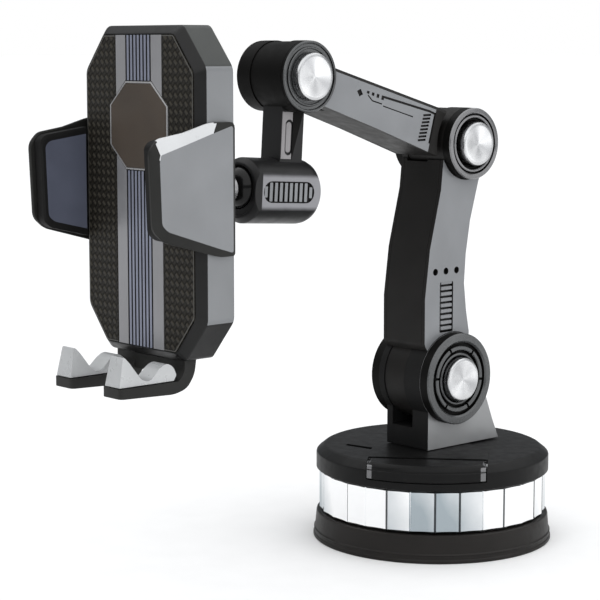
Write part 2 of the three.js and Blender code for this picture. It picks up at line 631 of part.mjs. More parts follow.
// Trim on the front: a centre strip with an octagonal pad, and a film panel on each side.
const trimFront = CRADLE_FRONT;
const trimBack = SKIN_FRONT - GAP;
function padOutline(grow) {
  const [x, waist, half, tip] = [14.95 + grow, 6.3, 14 + grow, 6.6 + grow * 0.4];
  return [
    [-tip, PAD_CENTRE - half], [tip, PAD_CENTRE - half], [x, PAD_CENTRE - waist],
    [x, PAD_CENTRE + waist], [tip, PAD_CENTRE + half], [-tip, PAD_CENTRE + half],
    [-x, PAD_CENTRE + waist], [-x, PAD_CENTRE - waist],
  ];
}
const padHole = prism('y', padOutline(GAP), -140, -130);
const stripEnds = [CRADLE.bottom + CRADLE_BEVEL + GAP, CRADLE.top - CRADLE_BEVEL - GAP];
const centerStrip = block(
  [-STRIP_HALF_WIDTH, trimFront, stripEnds[0]],
  [STRIP_HALF_WIDTH, trimBack, stripEnds[1]],
);
const stripParts = centerStrip.subtract(padHole).decompose()
  .sort((a, b) => a.boundingBox().min[2] - b.boundingBox().min[2]);
put(phoneMount, 'center_strip_lower', stripParts[0], 'silverPlastic');
put(phoneMount, 'center_strip_upper', stripParts[1], 'silverPlastic');
put(phoneMount, 'center_pad', prism('y', padOutline(0), trimFront - GAP, trimBack), 'blackPlastic');
const filmArea = prism('y', octagon(CRADLE_BEVEL + GAP), trimFront, trimBack).subtract(padHole);
const filmStart = STRIP_HALF_WIDTH + GAP;
const filmRight = filmArea.intersect(block([filmStart, -140, 0], [40, -130, 300]));
const filmLeft = filmArea.intersect(block([-40, -140, 0], [-filmStart, -130, 300]));
put(phoneMount, 'panel_right', filmRight, 'carbonFilm');
put(phoneMount, 'panel_left', filmLeft, 'carbonFilm');

const releaseButton = block(
  [-button.halfWidth, -124.5, button.bottom],
  [button.halfWidth, CRADLE_BACK + button.proud, button.top],
).add(block(
  [-button.halfWidth - 2, -125.4, button.bottom - 2],
  [button.halfWidth + 2, flangeBack, button.top + 2],
)).add(block([-3, -125.4, RACK.top + 2.6], [3, -124, button.bottom]));
put(phoneMount, 'release_button', releaseButton, 'greyPlastic');

// The coil spring behind the button, as a plain sleeve of the coil's inner and outer radius.
const spring = { inner: 2, outer: 3.2, front: SKIN_BACK + 0.4, back: -127.3 };
const buttonSpring = turned('y', [
  [spring.inner, spring.front], [spring.outer, spring.front],
  [spring.outer, spring.back], [spring.inner, spring.back],
], SMALL_ROUND + 2).translate([0, 0, (button.bottom + button.top) / 2]);
put(phoneMount, 'button_spring', buttonSpring, 'steel');

// ---------------------------------------------------------------- rack and pinion

// One flank point of an involute tooth: the half angle of the tooth at a radius.
function toothHalfAngle(radius) {
  const pressure = THREE.MathUtils.degToRad(TOOTH.slope);
  const base = PINION.pitch * Math.cos(pressure);
  const involute = (angle) => Math.tan(angle) - angle;
  const half = Math.PI / (2 * PINION.teeth) - TOOTH.backlash / 2 / PINION.pitch;
  if (radius <= base) return half + involute(pressure);
  return half + involute(pressure) - involute(Math.acos(base / radius));
}

const pinionRoot = PINION.pitch - TOOTH.root;
const pinionTip = PINION.pitch + TOOTH.tip;
const flankRadii = [pinionRoot, PINION.pitch * 0.95, PINION.pitch, PINION.pitch * 1.07, pinionTip];
const pinionOutline = [];
for (let tooth = 0; tooth < PINION.teeth; tooth += 1) {
  const middle = Math.PI / 2 - (2 * Math.PI * tooth) / PINION.teeth;
  const rising = flankRadii.map((r) => [r, middle + toothHalfAngle(r)]);
  const falling = flankRadii.map((r) => [r, middle - toothHalfAngle(r)]).reverse();
  [...rising, ...falling].forEach(([r, angle]) => {
    pinionOutline.push([r * Math.cos(angle), PINION.z + r * Math.sin(angle)]);
  });
}
const pinion = prism('y', pinionOutline, PINION.front, PINION.back)
  .subtract(rod('y', PINION.bore, -140, -120).translate([0, 0, PINION.z]));
put(phoneMount, 'pinion', pinion, 'nylon');

// The right-hand rack lies above the pinion, with a space over the pinion's topmost tooth.
const pitchLength = (2 * Math.PI * PINION.pitch) / PINION.teeth;
const rackPitchZ = PINION.z + PINION.pitch;
const toothed = [];
for (let tooth = -1; (tooth + 1) * pitchLength < -RACK.inner; tooth += 1) {
  const middle = -(tooth + 0.5) * pitchLength;
  const half = pitchLength / 4 - TOOTH.backlash / 2;
  const slope = Math.tan(THREE.MathUtils.degToRad(TOOTH.slope));
  const rootHalf = half + TOOTH.root * slope;
  const tipHalf = half - TOOTH.tip * slope;
  toothed.push(
    [middle + rootHalf, rackPitchZ + TOOTH.root],
    [middle + tipHalf, rackPitchZ - TOOTH.tip],
    [middle - tipHalf, rackPitchZ - TOOTH.tip],
    [middle - rootHalf, rackPitchZ + TOOTH.root],
  );
}
const rackOutline = [
  [RACK.outer, rackPitchZ + TOOTH.root],
  ...toothed,
  [RACK.inner, rackPitchZ + TOOTH.root],
  [RACK.inner, RACK.top],
  [RACK.outer, RACK.top],
];
const rightSlide = prism('y', rackOutline, RACK.front, RACK.back);

// ---------------------------------------------------------------- clamps

const rimOutline = [
  [-154.1, 125.4, 2], [-155.2, 149.5, 2], [-151.8, 153, 1.5], [-142, 154.5], [-131.5, 157.4, 2.5],
  [-121.8, 157.4, 2], [-121.8, 115.8, 1], [-127.7, 115.7, 2], [-149.8, 121.7, 2],
];
const faceOutline = [
  [-150.9, 125.4, 2.6], [-151.6, 145.8], [-151.2, 147.8], [-123.4, 156.2, 1], [-123.4, 116.9, 1],
];
const padProfile = [
  [CLAMP_PAD.back, 154.4], [-151.9, 152.2, 1.5], [-153.6, 150.3, 1], [-152.6, 124.2, 1.6],
  [-149.9, 122.2, 1], [CLAMP_PAD.back, 118.7],
];
const rightPlate = prism('x', rimOutline, CLAMP.inner, CLAMP.step)
  .add(prism('x', faceOutline, CLAMP.step - 0.2, CLAMP.outer));
const rightPad = prism('x', padProfile, CLAMP_PAD.inner, CRADLE.halfWidth);

put(phoneMount, 'clamp_slide_right', rightSlide, 'nylon');
put(phoneMount, 'clamp_slide_left', halfTurn(rightSlide), 'nylon');
put(phoneMount, 'clamp_plate_right', rightPlate, 'greyPlastic');
put(phoneMount, 'clamp_plate_left', rightPlate.mirror([1, 0, 0]), 'greyPlastic');
put(phoneMount, 'clamp_pad_right', rightPad, 'padRubber');
put(phoneMount, 'clamp_pad_left', rightPad.mirror([1, 0, 0]), 'padRubber');

// ---------------------------------------------------------------- foot

const footPlateTop = 75.55;
const footFrontEnd = -156.3;
const footOutline = [
  [footFrontEnd, 72.4], [-135, 71.6, 2], [-130, 73, 2], [-127, 77.2, 2], [FOOT.back, 82],
  [FOOT.back, FOOT.top], [FOOT.front, FOOT.top], [FOOT.front, 78.5, 1.5],
  [-133, footPlateTop, 1.5], [footFrontEnd, footPlateTop],
];
const crossbar = block([-FOOT.outer, FOOT.front, FOOT.top - 5], [FOOT.outer, FOOT.back, FOOT.top]);
// A web joins the two legs just under the cradle.
const webInLeg = 0.5;
const footWeb = block(
  [-FOOT.inner - webInLeg, FOOT.front, 76.6],
  [FOOT.inner + webInLeg, FOOT.back - 0.8, CRADLE.bottom - GAP],
);
const footBracket = prism('x', footOutline, -FOOT.outer, -FOOT.inner)
  .add(prism('x', footOutline, FOOT.inner, FOOT.outer))
  .add(crossbar)
  .add(footWeb);
put(phoneMount, 'foot_bracket', footBracket, 'darkPlastic');

const saddleOutline = [
  [-155.9, footPlateTop + GAP], [-153.9, 85.6, 1.2], [-151.6, 83.2, 1.2], [-147, 77, 2],
  [-143.8, 76.8, 1.6], [-139.8, 80.6, 1.5], [-137, 81.7, 1.5], [-134.6, 80.2, 1.2],
  [-133.6, 77.6, 0.5], [-134.7, footPlateTop + GAP],
];
const saddleSides = [9.2, 16.9];
[['foot_pad_left', -1], ['foot_pad_right', 1]].forEach(([name, side]) => {
  const [from, to] = saddleSides.map((x) => side * x).sort((a, b) => a - b);
  put(phoneMount, name, prism('x', saddleOutline, from, to), 'silverPlastic');
});

export default phoneMount;
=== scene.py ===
"""Looks of a car phone mount: suction base, swivel bracket, folding arm, ball joint and cradle.

Lengths below are millimetres unless they say otherwise. Z is up and the cradle faces -Y.
"""

import math

import bmesh
import bpy
from mathutils import Matrix, Vector


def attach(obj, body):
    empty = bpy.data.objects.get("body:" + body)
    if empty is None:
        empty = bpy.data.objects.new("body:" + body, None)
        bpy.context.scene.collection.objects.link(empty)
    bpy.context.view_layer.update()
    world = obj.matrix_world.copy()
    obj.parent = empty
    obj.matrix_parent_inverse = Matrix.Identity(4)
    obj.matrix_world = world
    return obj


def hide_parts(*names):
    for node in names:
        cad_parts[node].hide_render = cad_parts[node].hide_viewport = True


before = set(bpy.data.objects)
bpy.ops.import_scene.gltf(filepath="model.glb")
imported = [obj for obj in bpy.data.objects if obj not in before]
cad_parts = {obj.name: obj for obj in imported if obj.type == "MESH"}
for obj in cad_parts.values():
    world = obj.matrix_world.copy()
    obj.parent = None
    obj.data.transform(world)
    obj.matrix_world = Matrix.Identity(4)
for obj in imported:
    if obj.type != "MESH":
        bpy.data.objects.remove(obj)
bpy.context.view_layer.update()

MM = 0.001
GAP = 0.3                       # between parts that move against one another
SIDES = ((1, "near"), (-1, "far"))
HANDS = ((1, "right"), (-1, "left"))


def feed(node, inputs):
    """Sets a node's inputs: a socket is linked, and anything else is a value."""
    for name, value in inputs.items():
        if isinstance(value, bpy.types.NodeSocket):
            node.id_data.links.new(value, node.inputs[name])
        else:
            node.inputs[name].default_value = value
    return node


def new_node(tree, kind, inputs):
    return feed(tree.nodes.new("ShaderNode" + kind), inputs)


# ------------------------------------------------------------------ camera, light and floor

camera_data = bpy.data.cameras.new("camera")
camera = bpy.data.objects.new("camera", camera_data)
bpy.context.scene.collection.objects.link(camera)
camera.location = (0.48339, -0.50020, 0.18021)
camera.rotation_euler = [math.radians(angle) for angle in (82.423, 0, 48.071)]
camera_data.lens = 114.05
camera_data.sensor_width = 36
camera_data.clip_start = 0.01
bpy.context.scene.camera = camera


def lamp(name, kind, power, direction):
    """A light that shines along a direction."""
    data = bpy.data.lights.new(name, kind)
    data.energy = power
    light = bpy.data.objects.new(name, data)
    bpy.context.scene.collection.objects.link(light)
    light.rotation_euler = direction.to_track_quat("-Z", "Y").to_euler()
    return light


def soft_box(name, spot, target, size, power):
    """A rectangular light at one point, in metres, that faces another."""
    light = lamp(name, "AREA", power, Vector(target) - Vector(spot))
    light.location = spot
    light.data.shape = "RECTANGLE"
    light.data.size, light.data.size_y = size


lamp("overhead", "SUN", 3.2, Vector((-0.2, 0.1, -1))).data.angle = math.radians(125)
soft_box("right_box", (0.75, 0.35, 0.22), (0, -0.05, 0.12), (0.7, 0.5), 1.0)
soft_box("front_box", (0.25, -0.9, 0.45), (0, -0.08, 0.12), (0.5, 0.5), 0.4)

world = bpy.data.worlds.new("studio")
world.use_nodes = True
sky = world.node_tree
backdrop = feed(sky.nodes["Background"], {"Color": (1, 1, 1, 1), "Strength": 1.0})
room = new_node(sky, "Background", {"Color": (0.93, 0.96, 1, 1), "Strength": 0.3})
sky_mix = new_node(sky, "MixShader", {
    "Fac": new_node(sky, "LightPath", {}).outputs["Is Camera Ray"],
    1: room.outputs["Background"], 2: backdrop.outputs["Background"]})
feed(sky.nodes["World Output"], {"Surface": sky_mix.outputs["Shader"]})
bpy.context.scene.world = world
bpy.context.scene.view_settings.view_transform = "Standard"

# ------------------------------------------------------------------ materials


def maths(operation, *values):
    """A Math node on sockets and numbers, at least one of them a socket."""
    tree = next(value.id_data for value in values if isinstance(value, bpy.types.NodeSocket))
    node = new_node(tree, "Math", dict(enumerate(values)))
    node.operation = operation
    return node.outputs["Value"]


def add(first, second):
    return maths("ADD", first, second)


def minus(first, second):
    return maths("SUBTRACT", first, second)


def times(first, second):
    return maths("MULTIPLY", first, second)


def sine(value):
    return maths("SINE", value)


def parts_of(vector):
    return new_node(vector.id_data, "SeparateXYZ", {"Vector": vector}).outputs


def node_material(name):
    """A new material with its shader, and the object coordinates that its patterns use."""
    result = bpy.data.materials.new(name)
    result.use_nodes = True
    where = new_node(result.node_tree, "TexCoord", {}).outputs["Object"]
    return result, result.node_tree.nodes["Principled BSDF"], where


def noise(where, size, detail=3.0, stretch=(1, 1, 1)):
    """A noise pattern whose features are about `size` across."""
    mapping = new_node(where.id_data, "Mapping", {"Vector": where, "Scale": stretch})
    texture = new_node(where.id_data, "TexNoise", {
        "Vector": mapping.outputs["Vector"], "Scale": 1 / (size * MM), "Detail": detail})
    return texture.outputs["Fac"]


def spread(value, low, high):
    """A pattern of 0 to 1, mostly near its middle, as a value from low to high."""
    node = new_node(value.id_data, "MapRange", {
        "Value": value, "From Min": 0.3, "From Max": 0.7, "To Min": low, "To Max": high})
    return node.outputs["Result"]


def two_colours(value, first, second, ends=(0.32, 0.68)):
    """A colour that passes from the first to the second while a value passes between two ends."""
    node = new_node(value.id_data, "ValToRGB", {"Fac": value})
    for element, end, colour in zip(node.color_ramp.elements, ends, (first, second)):
        element.position = end
        element.color = (*colour, 1)
    return node.outputs["Color"]


def add_bump(shader, value, depth):
    bump = new_node(value.id_data, "Bump", {
        "Height": value, "Strength": 1.0, "Distance": depth * MM})
    feed(shader, {"Normal": bump.outputs["Normal"]})


def moulded(name, colour, roughness, specular=0.5, metallic=0.0, vary=0.18, grain=0.35,
            grain_depth=0.006, stretch=(1, 1, 1)):
    """Moulded or painted plastic, rubber or metal: uneven colour, uneven gloss and a fine grain."""
    result, shader, where = node_material(name)
    darker = [channel * (1 - vary) for channel in colour]
    lighter = [min(1.0, channel * (1 + vary)) for channel in colour]
    feed(shader, {
        "Base Color": two_colours(noise(where, 14), darker, lighter),
        "Roughness": spread(noise(where, 3.5), roughness - 0.05, roughness + 0.06),
        "Metallic": metallic, "Specular IOR Level": specular})
    add_bump(shader, noise(where, grain, 2.0, stretch), grain_depth)
    return result


PAINTED = {"grain": 0.12, "grain_depth": 0.0015}
FINE = {"grain": 0.2, "grain_depth": 0.001}
TURNED = {"grain": 0.2, "grain_depth": 0.002}
BRUSHED = {"grain": 0.25, "grain_depth": 0.002, "stretch": (1, 1, 0.04)}
GRAINED = {"vary": 0.12, "grain": 0.3, "grain_depth": 0.015}

BLACK_SATIN = moulded("black_satin", (0.0085, 0.0085, 0.0085), 0.36, 0.22)
BLACK_GLOSS = moulded("black_gloss", (0.0045, 0.0045, 0.0045), 0.16, 0.22, grain_depth=0.002)
BLACK_MATT = moulded("black_matt", (0.009, 0.009, 0.009), 0.6, 0.12, grain_depth=0.012)
RUBBER = moulded("rubber", (0.012, 0.0105, 0.0095), 0.45, 0.2, grain=0.25, grain_depth=0.01)
GEL = moulded("gel", (0.03, 0.03, 0.035), 0.3)
DARK_FRAME = moulded("dark_frame", (0.0095, 0.0088, 0.0082), 0.5, 0.16, grain_depth=0.01)
GREY_PAINT = moulded("grey_paint", (0.212, 0.219, 0.229), 0.38, 0.4, 0.25, 0.06, **PAINTED)
GUNMETAL = moulded("gunmetal", (0.30, 0.305, 0.31), 0.34, 0.5, 0.35, 0.08, 0.15, 0.002)
DISC_METAL = moulded("disc_metal", (0.085, 0.088, 0.09), 0.26, 0.5, 0.45, 0.1, **FINE)
# the elbow's discs: a lighter copy of the disc metal, as painted light
DISC_PAINTED_LIGHT = moulded("disc_painted_light", (0.2, 0.2, 0.205), 0.26, 0.5, 0.6, 0.1, **FINE)
# lighter and darker copies of one paint for the cradle's walls, as painted light and painted shade
SIDE_PAINTED_LIGHT = moulded("side_painted_light", (0.2, 0.207, 0.215), 0.36, 0.35, 0.3, 0.06, **PAINTED)
SIDE_PAINTED_SHADE = moulded("side_painted_shade", (0.044, 0.047, 0.045), 0.4, 0.3, 0.2, 0.08, **PAINTED)
CHARCOAL = moulded("charcoal", (0.018, 0.018, 0.017), 0.4, 0.16, grain_depth=0.003)
# a painted highlight for the right clamp's upper slant
PAINTED_HIGHLIGHT = moulded("painted_highlight", (0.6, 0.61, 0.62), 0.32, 0.5, vary=0.05, grain_depth=0.0002)
STRIP_EDGE = moulded("strip_edge", (0.24, 0.24, 0.25), 0.33, 0.5, 0.5, 0.06, **BRUSHED)
PANEL_LINE = moulded("panel_line", (0.07, 0.068, 0.062), 0.35, 0.3, 0, 0.05, **FINE)
# a darker metal on some flanks of the ring's grooves, as a painted dark reflection
GROOVE_DARK_REFLECTION = moulded("groove", (0.1, 0.105, 0.11), 0.3, 0.5, 0.8, 0.2)
STRIP_SILVER = moulded("strip_silver", (0.2, 0.215, 0.275), 0.33, 0.5, 0.5, 0.06, **BRUSHED)
SATIN_SILVER = moulded("satin_silver", (0.45, 0.45, 0.46), 0.28, 0.5, 0.8, 0.06, 0.25, 0.002)
BORDER_GREY = moulded("border_grey", (0.3, 0.3, 0.305), 0.3, 0.5, 0.35, 0.05, **FINE)
SADDLE_SILVER = moulded("saddle_silver", (0.47, 0.48, 0.485), 0.3, 0.5, 0.2, 0.05, 0.2, 0.0002)
PAD_FACE = moulded("pad_face", (0.049, 0.038, 0.029), 0.55, 0.25, **GRAINED)
CLAMP_RUBBER = moulded("clamp_rubber", (0.085, 0.094, 0.13), 0.6, 0.3, **GRAINED)
# a painted glint for the lever's end chamfers
GLINT = moulded("glint", (0.16, 0.16, 0.165), 0.2, 0.5, 0.6, 0.08, **FINE)
COVER_BLACK = moulded("cover_black", (0.0065, 0.0065, 0.0065), 0.42, 0.13)
HOUSING_BLACK = moulded("housing_black", (0.014, 0.014, 0.0145), 0.4, 0.22)
DEEP_BLACK = moulded("deep_black", (0.0045, 0.0043, 0.004), 0.5, 0.07)
STEEL = moulded("steel", (0.5, 0.51, 0.52), 0.3, 0.5, 1.0, 0.08, **TURNED)
NYLON = moulded("nylon", (0.62, 0.61, 0.55), 0.45, 0.4, vary=0.05)
INLAY = moulded("inlay", (0.26, 0.25, 0.255), 0.35, 0.4, 0.3, 0.06)

FACETS = 30
FACET_TURN = 360 / FACETS       # degrees
RING_START = 3.8                # degrees from +X to the edge of a facet


def chrome_material():
    """Bright plating of the ring with painted reflections: its facets pass slowly from a bluer grey
    to white and back.
    """
    result, shader, where = node_material("chrome")
    x, y, z = parts_of(where)
    turn = add(maths("ARCTAN2", y, x), math.radians(-RING_START))
    number = maths("DIVIDE", turn, math.radians(FACET_TURN))
    # Painted reflection: a tone that rises and falls from facet to facet, lighter across each facet
    # and upwards.
    painted_reflection_wave = sine(add(times(maths("FLOOR", number), 0.84), 2.1))
    height = maths("DIVIDE", z, 25 * MM)
    shade = add(times(maths("FRACT", number), 0.25), times(height, 0.3))
    value = add(times(painted_reflection_wave, 0.5), add(shade, times(noise(where, 9), 0.25)))
    feed(shader, {
        "Base Color": two_colours(value, (0.36, 0.41, 0.44), (0.96, 0.965, 0.97), (0.0, 0.55)),
        "Roughness": spread(noise(where, 5), 0.05, 0.1), "Metallic": 1.0})
    add_bump(shader, noise(where, 6), 0.02)
    return result


def spun_material(centre):
    """Turned metal about a hinge line along X: bright and dull wedges of painted reflection, and
    stretched gloss.
    """
    result, shader, where = node_material("spun_metal")
    _, y, z = parts_of(where)
    turn = maths("ARCTAN2", minus(z, centre[1] * MM), minus(y, centre[0] * MM))
    # painted reflection: bright and dull wedges about the hinge line
    painted_reflection_wedges = add(times(sine(times(turn, 2)), 0.1), times(sine(add(times(turn, 5), 0.7)), 0.07))
    value = add(painted_reflection_wedges, add(times(noise(where, 4), 0.3), 0.35))
    tangent = new_node(result.node_tree, "Tangent", {})
    tangent.direction_type = "RADIAL"
    tangent.axis = "X"
    feed(shader, {
        "Base Color": two_colours(value, (0.44, 0.445, 0.455), (0.74, 0.745, 0.75)),
        "Roughness": spread(noise(where, 2), 0.24, 0.32), "Metallic": 1.0,
        "Anisotropic": 0.6, "Tangent": tangent.outputs["Tangent"]})
    add_bump(shader, noise(where, 0.2), 0.0003)
    return result


def weave_material():
    """Film printed with a basket weave that runs at 45 degrees."""
    result, shader, where = node_material("woven_film")
    turned = new_node(result.node_tree, "Mapping", {
        "Vector": where, "Rotation": (0, math.radians(45), 0)})
    x, _, z = parts_of(turned.outputs["Vector"])
    cell = 1.8 * MM
    across, along = times(x, 1 / cell), times(z, 1 / cell)
    total = add(maths("FLOOR", across), maths("FLOOR", along))
    over = times(maths("FRACT", times(total, 0.5)), 2)

    def choose(first, second):
        """The first value where the weft lies on top, the second where the warp does."""
        return add(times(first, over), times(second, minus(1, over)))

    def crown(value):
        return sine(times(maths("FRACT", value), math.pi))

    def threads(value):
        return sine(times(value, 2 * math.pi * 4))

    fine = times(choose(threads(along), threads(across)), 0.12)
    height = add(choose(crown(across), crown(along)), fine)
    bright = maths("POWER", times(height, choose(1.0, 0.45)), 1.25)
    feed(shader, {
        "Base Color": two_colours(bright, (0.004, 0.0035, 0.003), (0.044, 0.04, 0.032), (0, 1)),
        "Roughness": 0.4, "Specular IOR Level": 0.08})
    add_bump(shader, height, 0.16)
    return result


CHROME = chrome_material()
WEAVE = weave_material()

floor_mesh = bpy.data.meshes.new("floor")
floor_maker = bmesh.new()
bmesh.ops.create_grid(floor_maker, x_segments=1, y_segments=1, size=30)
floor_maker.to_mesh(floor_mesh)
floor_maker.free()
floor = bpy.data.objects.new("floor", floor_mesh)
bpy.context.scene.collection.objects.link(floor)
floor_mesh.materials.append(
    moulded("floor_paint", (0.86, 0.86, 0.86), 0.8, 0.1, vary=0.01, grain=2, grain_depth=0.001))

# ------------------------------------------------------------------ mesh making


def place(axis, a, b, along):
    """A point of a shape drawn in the plane across an axis, in metres."""
    spots = {"x": (along, a, b), "y": (a, along, b), "z": (a, b, along)}
    return Vector(spots[axis]) * MM


def rounded(points, steps=4):
    """An outline of [a, b] points; a third number rounds that corner off over that distance."""
    result = []
    for i, point in enumerate(points):
        corner = Vector(point[:2])
        setback = point[2] if len(point) > 2 else 0
        if not setback:
            result.append(corner)
            continue
        ends = []
        for other in (points[i - 1], points[(i + 1) % len(points)]):
            ends.append(corner + (Vector(other[:2]) - corner).normalized() * setback)
        for k in range(steps + 1):
            t = k / steps
            result.append(ends[0] * (1 - t) ** 2 + corner * 2 * t * (1 - t) + ends[1] * t * t)
    return result


def as_object(name, maker):
    bmesh.ops.recalc_face_normals(maker, faces=maker.faces)
    mesh = bpy.data.meshes.new(name)
    maker.to_mesh(mesh)
    maker.free()
    result = bpy.data.objects.new(name, mesh)
    bpy.context.scene.collection.objects.link(result)
    return result


def skin(maker, loops, closed=False):
    """Faces between loops of vertices; a loop of one vertex is a point."""
    pairs = list(zip(loops, loops[1:]))
    if closed:
        pairs.append((loops[-1], loops[0]))
    for low, high in pairs:
        for i in range(max(len(low), len(high))):
            quad = [low[i % len(low)], low[(i + 1) % len(low)],
                    high[(i + 1) % len(high)], high[i % len(high)]]
            corners = list(dict.fromkeys(quad))
            if len(corners) > 2:
                maker.faces.new(corners)


def loft(name, axis, sections, closed=False):
    """A solid through outlines at places along an axis: [(outline, place), ...]."""
    maker = bmesh.new()
    loops = [[maker.verts.new(place(axis, a, b, along)) for a, b in outline]
             for outline, along in sections]
    skin(maker, loops, closed)
    if not closed:
        maker.faces.new(loops[0])
        maker.faces.new(loops[-1])
    return as_object(name, maker)


def prism(name, axis, points, start, end, steps=4):
    outline = rounded(points, steps)
    return loft(name, axis, [(outline, start), (outline, end)])


def block(name, low, high):
    (x0, y0, z0), (x1, y1, z1) = low, high
    return prism(name, "z", [(x0, y0), (x1, y0), (x1, y1), (x0, y1)], z0, z1)


def lathe(name, axis, centre, profile, segments=96):
    """A solid of revolution from [radius, place along axis] points."""
    maker = bmesh.new()
    loops = []
    for radius, along in profile:
        count = segments if radius > 0 else 1
        loop = []
        for i in range(count):
            angle = 2 * math.pi * i / segments
            a = centre[0] + radius * math.cos(angle)
            b = centre[1] + radius * math.sin(angle)
            loop.append(maker.verts.new(place(axis, a, b, along)))
        loops.append(loop)
    skin(maker, loops, closed=profile[0][0] > 0 and profile[-1][0] > 0)
    return as_object(name, maker)


def rod(name, axis, centre, radius, start, end, segments=72):
    profile = [(0, start), (radius, start), (radius, end), (0, end)]
    return lathe(name, axis, centre, profile, segments)


def span(side, first, second):
    """Two distances from the plane X = 0 as places on one side of it, the lower one first."""
    return sorted((side * first, side * second))


def apply(obj):
    """Gives an object the mesh that its modifiers make."""
    graph = bpy.context.evaluated_depsgraph_get()
    made = bpy.data.meshes.new_from_object(obj.evaluated_get(graph))
    old = obj.data
    obj.modifiers.clear()
    obj.data = made
    bpy.data.meshes.remove(old)


def drop(obj):
    mesh = obj.data
    bpy.data.objects.remove(obj)
    bpy.data.meshes.remove(mesh)


def combine(obj, operation, *others):
    for other in others:
        modifier = obj.modifiers.new(operation, "BOOLEAN")
        modifier.operation = operation
        modifier.solver = "MANIFOLD"
        modifier.object = other
    apply(obj)
    for other in others:
        drop(other)
    return obj


def union(obj, *others):
    return combine(obj, "UNION", *others)


def cut(obj, *others):
    return combine(obj, "DIFFERENCE", *others)


def join(obj, *others):
    """Puts separate closed shapes into one mesh."""
    maker = bmesh.new()
    maker.from_mesh(obj.data)
    for other in others:
        maker.from_mesh(other.data)
        drop(other)
    maker.to_mesh(obj.data)
    maker.free()
    return obj


def smooth(obj, angle=34):
    for polygon in obj.data.polygons:
        polygon.use_smooth = True
    obj.data.set_sharp_from_angle(angle=math.radians(angle))
    weighted = obj.modifiers.new("weighted", "WEIGHTED_NORMAL")
    weighted.keep_sharp = True
    apply(obj)
    return obj


def soften(obj, width=0.3, segments=2):
    """Rounds an object's edges, then shades it smooth between them."""
    maker = bmesh.new()
    maker.from_mesh(obj.data)
    bmesh.ops.remove_doubles(maker, verts=maker.verts, dist=0.002 * MM)
    bmesh.ops.dissolve_limit(maker, angle_limit=math.radians(0.6), verts=maker.verts,
                             edges=maker.edges)
    maker.to_mesh(obj.data)
    maker.free()
    bevel = obj.modifiers.new("bevel", "BEVEL")
    bevel.width = width * MM
    bevel.segments = segments
    bevel.limit_method = "ANGLE"
    bevel.angle_limit = math.radians(30)
    apply(obj)
    return smooth(obj)


def give(obj, body, nodes, materials, choose=None):
    """Makes a finished piece ride on its body, stand for its nodes and take its materials."""
    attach(obj, body)
    if nodes:
        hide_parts(*nodes)
    obj.data.materials.clear()
    for material in materials:
        obj.data.materials.append(material)
    for polygon in obj.data.polygons:
        centre = polygon.center / MM
        polygon.material_index = choose(centre, polygon.normal) if choose else 0


# ------------------------------------------------------------------ base

COVER_SIDES = 144
COVER_BORE = 8.3
LEVER_TURN = Matrix.Rotation(math.radians(-49), 4, "Z")
LEVER_HINGE = (30, 32.6)        # the pin's place in [x, z], before the lever is turned


def lever_turned(obj):
    obj.data.transform(LEVER_TURN)
    return obj


def lever_recess():
    return lever_turned(block("recess", (27.8, -21.35, 28.4), (46, 21.35, 37)))


cup = lathe("suction_cup_skin", "z", (0, 0), [
    (43.8, 0), (44.1, 0.25), (44.1, 1.0), (43.95, 1.35), (43.75, 1.5), (43.72, 2.65),
    (43.88, 2.85), (43.88, 3.05), (43.6, 3.3), (43.42, 3.55), (42.95, 9.1), (42.8, 9.6),
    (42.4, 9.9), (5.6, 9.9), (5.6, 6.6), (36, 6.6), (36, 0),
], COVER_SIDES)
give(smooth(cup), "base", ["suction_cup"], [RUBBER])


def facet_ring():
    """A ring of hollow mirror facets with a narrow groove between them."""
    radius, inner, low, high = 42.0, 40.3, 10.2, 25.3
    levels = [(0.8, low), (0.12, 10.9), (0, 11.1), (0, 24.95), (0.12, 25.15), (0.3, high),
              (None, high), (None, low)]
    step = math.radians(FACET_TURN)
    chord = 2 * radius * math.sin(step / 2)
    flat = radius * math.cos(step / 2)
    groove, depth, hollow = 0.4, 0.62, 0.3
    stops = [0, groove, groove + 0.3] + [chord * k / 8 for k in range(1, 8)]
    stops += [chord - groove - 0.3, chord - groove]
    maker = bmesh.new()
    loops = []
    for inset, height in levels:
        loop = []
        for facet in range(FACETS):
            middle = math.radians(RING_START) + step * (facet + 0.5)
            normal = Vector((math.cos(middle), math.sin(middle)))
            side = Vector((-normal.y, normal.x))
            for stop in stops:
                share = stop / chord
                sink = depth if stop == 0 else hollow * 4 * share * (1 - share)
                point = normal * (flat - sink) + side * (stop - chord / 2)
                if inset is None:
                    point = point.normalized() * inner
                else:
                    point -= normal * inset
                loop.append(maker.verts.new((point.x * MM, point.y * MM, height * MM)))
        loops.append(loop)
    skin(maker, loops, closed=True)
    return as_object("base_ring_facets", maker)


ring = smooth(facet_ring(), 20)


def ring_faces(centre, normal):
    """One flank of three grooves in five is darker, as a painted dark reflection."""
    turn = math.degrees(math.atan2(centre.y, centre.x)) - RING_START
    number, beyond = divmod(turn + 28 * FACET_TURN, FACET_TURN)
    return 1 if beyond < 0.5 and number % 5 in (0, 2, 4) and centre.xy.length > 41 else 0


give(ring, "base", ["base_ring"], [CHROME, GROOVE_DARK_REFLECTION], ring_faces)

